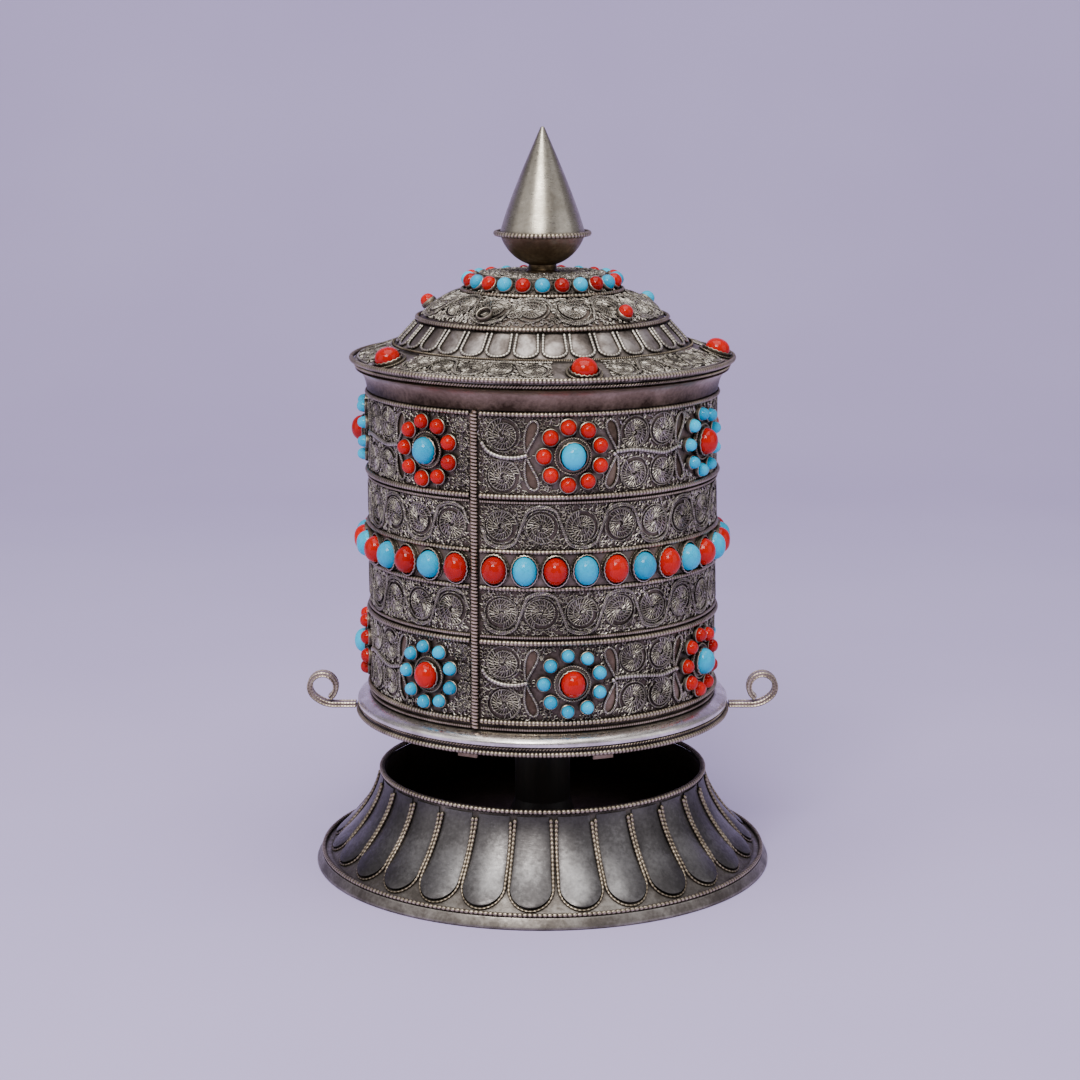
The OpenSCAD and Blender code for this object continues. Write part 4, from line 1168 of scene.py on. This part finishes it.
def cup(shape_r, foot_r, height, wave_count=0):
    """Thin stepped cup for a stone; its lip is scalloped when it has waves."""
    step_h = height * 0.3
    profile = [
        (foot_r - 0.3, 0.0, 0.2), (foot_r, 0.05, 0.5), (foot_r, step_h * 0.8, 0.7),
        (foot_r - 0.15, step_h, 0.8), (shape_r + 0.42, step_h, 0.25), (shape_r + 0.40, height - 0.15, 0.6),
        (shape_r + 0.22, height, 1.0), (shape_r + 0.03, height - 0.1, 0.8), (shape_r - 0.1, step_h, 0.1),
        (foot_r - 0.6, step_h - 0.1, 0.1),
    ]
    return scalloped(profile, waves(36, wave_count, 0.22), step_h + 0.2, 1.1).close()


def grain_ring(radius, wire_r, h, pitch):
    """Ring of twisted wire that lies flat."""
    shape = Shape()
    angle = np.linspace(0, FULL, int(FULL * radius / 0.22), endpoint=False)
    path = polar(radius, angle, np.full(len(angle), h))
    wire(shape, path, wire_r, sides=6, lobes=2, depth=0.4, pitch=pitch, closed=True)
    return shape.close()


def stone_sets(group, body):
    """For each kind of stone in a group: its slot, a shape to lay the stones in, and their solids and tones.

    A tone makes a stone's colour paler or deeper. Each kind becomes a piece once its stones are laid.
    """
    for material, slot in STONE_KINDS:
        node = f"{group}_{slot}s"
        stones = Shape()
        places = solids(node)
        yield slot, stones, zip(places, np.clip(random.normal(0.55, 0.2, len(places)), 0.1, 1.0))
        piece(node + "_polished", stones, material, body, slot, node)


SMALL_STONE = cabochon(4.1, 0.75, 2.05)
CENTRE_STONE = cabochon(7.2, 1.1, 3.3)
SMALL_CUP = cup(2.0, 2.4, 1.3)
CENTRE_CUP = cup(3.6, 5.2, 2.0, 20)
CENTRE_RIM = grain_ring(5.05, 0.36, 0.45, 1.5)


def belt_stones():
    """Oval corals and turquoises around the drum, in collars; the lens is scaled to each stone."""
    angle = np.radians(np.linspace(8, 82, 8))
    top = np.column_stack([np.cos(angle) ** 0.8, np.sin(angle)])
    lens = turned_solid([(0, -0.15), (0.93, -0.15), (1.0, 0), *top, (0, 1.0)], 32)
    collar = belt_collar()
    bezels = Shape()
    for _, stones, places in stone_sets("stone_band", "drum"):
        for (turn, _, z, _), tone in places:
            size = (between(3.35, 3.6), between(3.8, 4.1), 3.6)
            WALL.fix(stones, lens, turn, z, FACE_H + 0.95, between(-0.05, 0.05), size, tone)
            WALL.fix(bezels, collar, turn, z, FACE_H)
    piece("belt_collars", bezels, stone_cup, "drum", "wire_silver", "stone_band_bezels")


def belt_collar():
    """Oval collar with a scalloped lip, and a grain wire around its foot."""
    half_width, half_height = 3.4, 4.2
    profile = [(0.0, -0.4, 0.2), (0.42, -0.35, 0.4), (0.34, 0.8, 0.6), (0.40, 1.45, 1.0), (0.16, 1.55, 1.0),
               (0.02, 1.3, 0.5), (0.0, 0.2, 0.1)]
    segments = 44
    pattern = scalloped(profile, waves(segments, 22, 0.16), 1, 1.2, half_width, half_height)
    angle = np.linspace(0, FULL, segments, endpoint=False)
    foot = np.column_stack([(half_width + 0.62) * np.cos(angle), (half_height + 0.55) * np.sin(angle)])
    path = spaced(flat_line(foot, 0.0), 0.3, closed=True)
    wire(pattern, path, 0.3, sides=5, lobes=2, depth=0.4, pitch=1.4, closed=True)
    return pattern.close()


def flower_stones():
    """Flowers of round stones, each around a larger one of the other colour."""
    bezels = Shape()
    for slot, stones, places in stone_sets("rosette", "drum"):
        for (turn, _, z, width), tone in places:
            spin = any_turn()
            if width > LARGE_STONE_WIDTH:
                WALL.fix(stones, CENTRE_STONE, turn, z, FACE_H + 0.63, 0.0, (0.95, 1.06, 1), tone)
                WALL.fix(bezels, CENTRE_CUP, turn, z, FACE_H, spin)
                WALL.fix(bezels, CENTRE_RIM, turn, z, FACE_H + 0.3)
            else:
                size = between(0.98, 1.06) * (1.0 if slot == "coral" else 0.87)
                WALL.fix(stones, SMALL_STONE, turn, z, FACE_H + 0.42, spin, (size, size, 1), tone)
                WALL.fix(bezels, SMALL_CUP, turn, z, FACE_H, spin, (size, size, 0.8))
    piece("rosette_cups", bezels, stone_cup, "drum", "wire_silver", "rosette_bezels")


# ---- Curl handles ----

def curl_handles():
    """Flat strips that run out from the flange and curl up and in, edged with fine beads."""
    reach, width, top = high("right_curl_handle")
    start, _, bottom = low("right_curl_handle")
    thick = 1.7
    curl_r = 3.95
    lead_r = 9.0
    centre = np.array([reach - curl_r - thick / 2, top - curl_r - thick / 2])
    lead_start, join, tip = 270, 315, 600
    lead_centre = centre + polar(curl_r - lead_r, math.radians(join))
    lead = arc(lead_centre, lead_r, lead_start, join, 14)
    coil = arc(centre, curl_r, join, tip, 70)[1:]
    line = spaced(np.vstack([[(start, bottom + thick / 2)], lead, coil]), 0.3)
    tangent = unit(np.gradient(line, axis=0))
    across = np.column_stack([-tangent[:, 1], tangent[:, 0]])
    sides = 16
    corner = np.radians(np.linspace(0, 360, sides, endpoint=False) + 180 / sides)
    square = [np.sign(wave) * np.abs(wave) ** 0.4 for wave in (np.cos(corner), np.sin(corner))]
    section = np.column_stack([square[0] * (width - 0.25), square[1] * (thick / 2 - 0.12)])
    for name, side in (("left_curl_handle", -1), ("right_curl_handle", 1)):
        flat = line[:, None] + section[None, :, 1:] * across[:, None]
        wide = np.broadcast_to(section[:, 0], flat.shape[:2])
        rows = np.stack([side * flat[..., 0], wide, flat[..., 1]], axis=-1)
        shape = Shape()
        shape.add(rows, grid(len(line), sides, False, True), end_caps(len(line), sides), 0.5)
        up = np.column_stack([side * across[:, 0], np.zeros(len(line)), across[:, 1]])
        for y in (-width + 0.36, width - 0.36):
            for face in (-1, 1):
                edge = line + face * (thick / 2 - 0.34) * across
                path = np.column_stack([side * edge[:, 0], np.full(len(line), y), edge[:, 1]])
                wire(shape, path, 0.40, up, sides=6, beads=0.95, bead_depth=0.45)
        piece(name + "_strip", shape, handle_metal, "drum", "old_brass", name)


# ---- Lid ----

def lid_flange():
    """Sloping brim with a beaded wire on its edge."""
    inner_r = FLANGE_IN_R - 2.2
    outline = [(LID_EDGE_R, LID_EDGE_Z, 0.6), (FLANGE_IN_R, FLANGE_TOP_Z, 0.5), (inner_r, FLANGE_TOP_Z, 0.2),
               (inner_r, FLANGE_TOP_Z - SHEET, 0.3), (LID_EDGE_R, LID_EDGE_Z - SHEET, 0.4)]
    turned("lid_brim", outline, 360, lid_petal_metal, "lid", "oxidised_silver", "lid_flange")
    edge = Shape()
    ring(edge, high("lid_edge_wire")[0] - 0.77, LID_EDGE_Z + 0.35, 0.76, **RING_BEADS)
    piece("lid_edge_beads", edge, ring_wire, "lid", "wire_silver", "lid_edge_wire")


def lid_flange_wirework():
    """Panels of running scrolls between the brim's large stones, edged by beaded wires."""
    shape, hooks = Shape(), Shape()
    half_panel = math.radians(27)
    middle_v = FLANGE.length * 0.5
    half_height = FLANGE.length * 0.39
    for turn, *_ in solids("lid_flange_filigree"):
        running_scroll(shape, hooks, FLANGE, middle_v, half_height, turn - half_panel, turn + half_panel, 5)
        for v in (middle_v - half_height - 0.1, middle_v + half_height + 0.1):
            turns = turn + np.linspace(-1, 1, 180) * (half_panel + 0.01)
            points = FLANGE.at(turns, v, 0.3)
            up = outward(FLANGE, turns, points[:, 2])
            wire(shape, points, 0.32, up, sides=5, beads=0.8, bead_depth=0.3)
    piece("lid_brim_wirework", shape, wirework, "lid", "filigree", "lid_flange_filigree")
    piece("lid_brim_hooks", hooks, wirework, "lid", "filigree")


# The stones of the dome stand between these radii; those of the crown are nearer the middle
DOME_STONES_R = (30, 40)
EMPTY_SETTING_TURN = math.radians(-29)


def lid_petals():
    """Collar of sunk petal plates, each edged by a twisted U-shaped wire; the plates darken towards their
    tops by painted shadow.
    """
    foot_z = FLANGE_TOP_Z + 0.03
    outline = [(FLANGE_IN_R - 0.2, foot_z, 0.45), (COLLAR_TOP_R, COLLAR_TOP_Z, 0.25),
               (COLLAR_TOP_R - 1.2, COLLAR_TOP_Z, 0.2), (FLANGE_IN_R - 1.6, foot_z, 0.2)]
    turned("lid_collar", outline, 320, lid_petal_metal, "lid", "oxidised_silver", "lid_petal_collar")
    wires = Shape()
    plates = Shape()
    length = COLLAR.length
    top_v = length * 0.86
    foot_v = length * 0.09
    half_top, half_wide, tip = 2.9, 3.35, 2.2
    angle = np.radians(np.linspace(180, 360, 15))
    round_end = np.column_stack([half_wide * np.cos(angle), foot_v + tip + tip * np.sin(angle)])
    line = spaced(np.vstack([[(-half_top, top_v)], round_end, [(half_top, top_v)]]), 0.24)
    rows, columns = 9, 7
    plate_v = np.linspace(foot_v + 0.5, top_v, rows)
    half = np.interp(plate_v, [foot_v + 0.5, foot_v + tip, top_v], [half_wide * 0.6, half_wide, half_top])
    half -= 0.3
    across = np.linspace(-1, 1, columns)[None, :]
    h = 0.10 + 0.32 * (1 - across ** 2) * np.ones((rows, 1))
    # Plates darker towards their tops: painted shadow under the ring wire above them
    tone_and_painted_light = 0.65 - 0.3 * np.linspace(0, 1, rows)[:, None] * np.ones((1, columns))
    for turn, *_ in solids("lid_petal_wires"):
        turns = turn + line[:, 0] / COLLAR.section(line[:, 1])[0]
        points = COLLAR.at(turns, line[:, 1], 0.42)
        up = outward(COLLAR, turns, points[:, 2])
        wire(wires, points, 0.46, up, sides=8, beads=0.95, bead_depth=0.18, tone=0.9)
        turns = turn + across * half[:, None] / COLLAR.section(plate_v[:, None])[0]
        plates.add(COLLAR.at(turns, plate_v[:, None], h), grid(rows, columns), wear=tone_and_painted_light * between(0.8, 1.2),
                   solid=False)
    piece("lid_petal_twists", wires, wirework, "lid", "wire_silver", "lid_petal_wires")
    piece("lid_petal_plates", plates, lid_petal_metal, "lid", "dark_silver")


def lid_rings():
    """Wires around the foot of the petals, of the dome and of the crown."""
    shape = Shape()
    ring(shape, FLANGE_IN_R + 0.75, FLANGE_TOP_Z + 0.4, 0.4, sides=6, lobes=2, depth=0.4, pitch=1.3,
         step=0.22)
    ring(shape, COLLAR_TOP_R + 0.8, COLLAR_TOP_Z + 0.35, 0.7, **RING_BEADS)
    ring(shape, CROWN_FOOT_R + 1.15, DOME_TOP_Z + 0.34, 0.62, **RING_BEADS)
    piece("lid_ring_beads", shape, ring_wire, "lid", "wire_silver", "lid_ring_wires")


def lid_dome():
    """Low dome covered by running scrolls."""
    outer = [(r, z + 0.03, 0.4) for r, z in DOME.outline]
    outline = outer + [(r - 1.2, z, wear) for r, z, wear in outer[::-1]]
    turned("dome_ground", outline, 320, ground, "lid", "dark_silver", "lid_dome")
    wires, hooks = Shape(), Shape()
    running_scroll(wires, hooks, DOME, DOME.length * 0.49, DOME.length * 0.41, 0.1, 0.1 + FULL, 16)
    piece("dome_wirework", wires, wirework, "lid", "filigree", "lid_dome_filigree")
    piece("dome_hooks", hooks, wirework, "lid", "filigree")


def lid_crown():
    """Sloping ring under a flat disc, which has rows of small scrolls between twisted wires."""
    foot_z = DOME_TOP_Z + 0.06
    outline = [(CROWN_FOOT_R, foot_z, 0.3), (CROWN_TOP_R, CROWN_TOP_Z, 0.4),
               (CROWN_TOP_R - 1.2, CROWN_TOP_Z, 0.2), (CROWN_FOOT_R - 1.2, foot_z, 0.2)]
    turned("crown_slope", outline, 256, ground, "lid", "oxidised_silver", "crown_collar")
    back = CROWN_TOP_Z + 0.03
    face = back + 0.45
    disc = Shape()
    lathe(disc, [(STUD_HOLE_R, back, 0.3), (CROWN_DISC_R, back, 0.4),
                 (CROWN_DISC_R, face, 0.5), (STUD_HOLE_R, face, 0.4)], 256)
    plate = Turned([(CROWN_DISC_R, face), (STUD_HOLE_R, face)])
    row = CROWN_DISC_R / 4
    for k in range(3):
        outer = CROWN_DISC_R - 0.5 - k * row
        ring(disc, outer, face + 0.1, 0.4, sides=6, lobes=2, depth=0.4, pitch=1.4, step=0.24)
        middle = CROWN_DISC_R - 0.5 - (k + 0.5) * row
        count = round(FULL * middle / (row + 0.6))
        for i in range(count):
            plate.stamp(disc, pick(SMALL_SCROLLS), (i + 0.5 * k) * FULL / count, CROWN_DISC_R - middle,
                        any_turn(), between(0.8, 1.0), bool(random.integers(2)))
    fill_hooks(disc, plate, 0, FULL, 1.0, 3 * row, [], 1.15)
    fill_hooks(disc, CROWN, 0, FULL, 0.6, CROWN.length - 0.3, [], 0.95)
    piece("crown_top", disc, wirework, "lid", "filigree", "crown_disc")


def lid_stones():
    """Stones on the brim, the dome and the crown, and one setting on the dome that has lost its stone."""
    bezels = Shape()
    flange_stone = cabochon(7.3, 0.9, 3.1)
    flange_cup = cup(3.9, 5.1, 1.6, 18)
    flange_rim = grain_ring(5.0, 0.3, 0.3, 1.3)
    small = cabochon(4.4, 0.8, 2.1)
    for _, stones, places in stone_sets("lid", "lid"):
        for (turn, r, z, width), tone in places:
            spin = any_turn()
            if width > LARGE_STONE_WIDTH:
                v = FLANGE.v_at(z, 2.4)
                FLANGE.fix(stones, flange_stone, turn, v, 0.6, spin, (1, 1, 1), tone)
                FLANGE.fix(bezels, flange_cup, turn, v, 0.1, spin)
                FLANGE.fix(bezels, flange_rim, turn, v, 0.1)
            else:
                surface, lift = (CROWN, 0.15) if r < DOME_STONES_R[0] else (DOME, 0.65)
                v = surface.v_at(z, lift + 1.7)
                surface.fix(stones, small, turn, v, lift + 0.4, spin, (1, 1, 1), tone)
                surface.fix(bezels, SMALL_CUP, turn, v, lift, spin)
    for turn, r, z, _ in solids("lid_bezels"):
        if DOME_STONES_R[0] < r < DOME_STONES_R[1] and abs(turn - EMPTY_SETTING_TURN) < 0.1:
            DOME.fix(bezels, SMALL_CUP, turn, DOME.v_at(z, 1.3), 0.65)
    piece("lid_cups", bezels, stone_cup, "lid", "wire_silver", "lid_bezels")


# ---- Finial ----

def finial_bowl():
    """Brass cup on a short moulded stem: part of a sphere whose middle is above the cup's lip."""
    stem_r, bore_r, above_lip = 4.1, 1.6, 3.5
    foot_z = low("finial_bowl")[2]
    centre = (0, BOWL_TOP_Z + above_lip)
    bowl_r = math.hypot(BOWL_R, above_lip)
    rise = math.degrees(math.asin(stem_r / bowl_r))
    lip = math.degrees(math.acos(above_lip / bowl_r))
    # The stem under the cup gets the darkest value: partly tarnish in the neck, partly painted shade under
    # the cup
    outline = [(bore_r, foot_z, 0.0), (stem_r + 0.7, foot_z, 0.05), (stem_r + 0.7, foot_z + 0.4, 0.15),
               (stem_r + 0.2, foot_z + 0.7, 0.0), (stem_r + 0.05, foot_z + 1.4, 0.0)]
    outline += [(r, z, 0.45) for r, z in arc(centre, bowl_r, rise - 90, lip - 90, 24)]
    outline += [(r, z, 0.2) for r, z in arc(centre, bowl_r - SHEET, lip - 93, 12 - 90, 20)]
    outline.append((bore_r, centre[1] - bowl_r + 1.1, 0.2))
    turned("finial_cup", outline, 160, old_brass, "lid", "old_brass", "finial_bowl")


def finial_ring():
    """Beaded wire on a thin washer between the cup and the cone."""
    mid_z = BOWL_TOP_Z + 0.33
    inner_r, outer_r, half = 9.0, 12.75, 0.3
    band = Shape()
    lathe(band, [(inner_r, mid_z - half, 0.3), (outer_r, mid_z - half, 0.4),
                 (outer_r, mid_z + half, 0.5), (inner_r, mid_z + half, 0.3)], 160)
    ring(band, FINIAL_RING_R - 0.8, mid_z, 0.8, sides=10, beads=1.2, bead_depth=0.25, step=0.2)
    piece("finial_twist", band, ring_wire, "lid", "wire_silver", "finial_ring")


def finial_cone():
    """Plain cone with slightly hollow sides and a blunt tip."""
    base_z, tip_r = BOWL_TOP_Z + 0.7, 0.75
    foot = [(0, base_z + 0.4), (11.8, base_z + 0.4), (12.1, base_z)]
    side = bezier((12.4, base_z), (9.9, 199), (tip_r, TIP_Z - 0.6), 40)
    tip = arc((0, TIP_Z - tip_r), tip_r, 15, 75, 4)
    cone = turned_solid([*foot, *side, *tip, (0, TIP_Z)], 128, 0.6)
    piece("finial_spire", cone, cone_silver, "lid", "bright_silver", "finial_cone")


# ---- Inside the drum ----

def roll():
    """Tightly wound paper, its silk wrapper and the cords that tie it."""
    outer_r = high("mantra_roll")[0]
    bottom, top = low("mantra_roll")[2], high("mantra_roll")[2]
    core_r = high("core_tube")[0] + 0.05
    windings = np.arange(core_r + 0.2, outer_r - 0.2, 0.35)
    edge = [(r, top - (0.0 if k % 2 else 0.25), 0.5) for k, r in enumerate(windings)]
    outline = [(core_r, bottom, 0.5), (core_r, top - 0.3, 0.5), *edge,
               (outer_r, top - 0.2, 0.5), (outer_r, bottom, 0.5)]
    turned("wound_paper", outline, 160, mantra_paper, "drum", "paper", "mantra_roll")
    wrap_r = high("roll_wrapper")[0]
    bottom, top = low("roll_wrapper")[2], high("roll_wrapper")[2]
    segments, rows = 200, 30
    turn = np.linspace(0, FULL, segments, endpoint=False)[:, None]
    z = np.array([bottom, bottom, *np.linspace(bottom, top, rows), top, top])
    swell = np.array([-0.7, -0.1, *(-0.12 + 0.1 * np.cos(np.linspace(0, 9, rows))), -0.1, -0.7])
    pucker = 0.04 * np.sin(turn * 23) * (np.abs(swell) < 0.5)
    silk = Shape()
    silk.add(around(turn, wrap_r + swell + pucker, z), grid(segments, len(z), True, True))
    piece("silk_wrapper", silk, yellow_silk, "drum", "silk", "roll_wrapper")
    cords = Shape()
    for _, _, z, _ in solids("roll_ties"):
        ring(cords, wrap_r + 0.83, z, 0.8, sides=9, lobes=3, depth=0.3, pitch=3.4)
    piece("silk_cords", cords, red_cord, "drum", "cord", "roll_ties")


# ---- CAD pieces that keep their shape ----

def carried_over():
    """Gives CAD nodes that show as they are a material and an even wear."""
    finishes = {
        # Nearly black parts inside the drum and under the lid: painted shade
        inside_black: ["floor_plate", "drum_floor", "lid_skirt"],
        ground: ["stone_band_strip"],
        post_wood: ["bearing_post"],
        yellow_brass: ["thrust_washer", "lower_bush", "upper_bush"],
        old_brass: ["core_tube"],
        steel: ["spindle", "spindle_washers", "spindle_nuts", "bridge_bar", "finial_stud", "finial_nut"],
        mauve_metal: ["floor_tabs"],
    }
    for material, nodes in finishes.items():
        for name in nodes:
            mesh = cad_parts[name].data
            mesh.materials.clear()
            mesh.materials.append(material)
            wear = mesh.attributes.new("wear", "FLOAT", "POINT")
            wear.data.foreach_set("value", np.full(len(mesh.vertices), 0.5, np.float32))


# ---- Camera, floor and lights ----

def camera():
    """The photograph's view: a long lens a little above the drum's middle, looking slightly down."""
    lens = bpy.data.cameras.new("view")
    lens.lens = 83.3
    lens.sensor_width = 36.0
    lens.shift_x = -0.0023
    lens.shift_y = -0.0074
    lens.clip_start = 0.05
    made = bpy.data.objects.new("view", lens)
    made.location = (0, -0.7326, 0.2451)
    made.rotation_euler = (math.radians(90 - 11.186), 0, 0)
    bpy.context.scene.collection.objects.link(made)
    bpy.context.scene.camera = made


def floor():
    """Pale sweep that runs up behind the object."""
    half, back, radius, top = 1.6, 1.1, 0.5, 1.6
    line = [(-2.2, 0.0), (back - radius, 0.0)]
    line += [(back - radius + radius * math.sin(a), radius - radius * math.cos(a))
             for a in np.linspace(0.1, math.pi / 2, 14)]
    line.append((back, top))
    points = [(x, y, z) for y, z in line for x in np.linspace(-half, half, 5)]
    mesh = bpy.data.meshes.new("floor")
    mesh.from_pydata(points, [], grid(len(line), 5).tolist())
    mesh.polygons.foreach_set("use_smooth", [True] * len(mesh.polygons))
    m = Material("pale_floor")
    colour = m.ramp(m.noise(6, 2), (0.3, (0.56, 0.475, 0.77)), (0.7, (0.59, 0.505, 0.80)))
    mesh.materials.append(m.finish(Base_Color=colour, Roughness=0.9))
    made = bpy.data.objects.new("floor", mesh)
    bpy.context.scene.collection.objects.link(made)


def area_light(name, place, size, power, colour):
    """Soft light that is aimed at the middle of the wheel."""
    light = bpy.data.lights.new(name, "AREA")
    light.shape = "RECTANGLE"
    light.size, light.size_y = size
    light.energy = power
    light.color = colour
    made = bpy.data.objects.new(name, light)
    made.location = place
    made.rotation_euler = (Vector((0, 0, 0.11)) - Vector(place)).to_track_quat("-Z", "Y").to_euler()
    bpy.context.scene.collection.objects.link(made)


def lights():
    """One main light from the front, a top light, a weak one from each side and a dim sky."""
    area_light("softbox_front", (-0.22, -0.95, 0.95), (0.55, 0.5), 12.3, (1.0, 0.98, 0.96))
    area_light("softbox_top", (0.0, -0.15, 1.15), (1.0, 1.0), 9, (1.0, 1.0, 1.0))
    area_light("fill_right", (1.1, -0.5, 0.45), (1.0, 1.0), 3.0, (0.97, 0.97, 1.0))
    area_light("fill_left", (-1.1, -0.5, 0.45), (1.0, 1.0), 3.0, (1.0, 0.98, 0.98))
    world = bpy.data.worlds.new("studio")
    world.use_nodes = True
    background = world.node_tree.nodes["Background"]
    background.inputs["Color"].default_value = (0.80, 0.77, 0.84, 1)
    background.inputs["Strength"].default_value = 0.35
    bpy.context.scene.world = world


camera()
floor()
lights()
stand_shell()
stand_petals()
stand_petal_wires()
foot_ring()
stand_wires()
drum_shell()
drum_foot_flange()
drum_mouth()
drum_wires()
seam()
scroll_bands()
flower_bands()
belt_stones()
flower_stones()
curl_handles()
lid_flange()
lid_flange_wirework()
lid_petals()
lid_rings()
lid_dome()
lid_crown()
lid_stones()
finial_bowl()
finial_ring()
finial_cone()
roll()
carried_over()
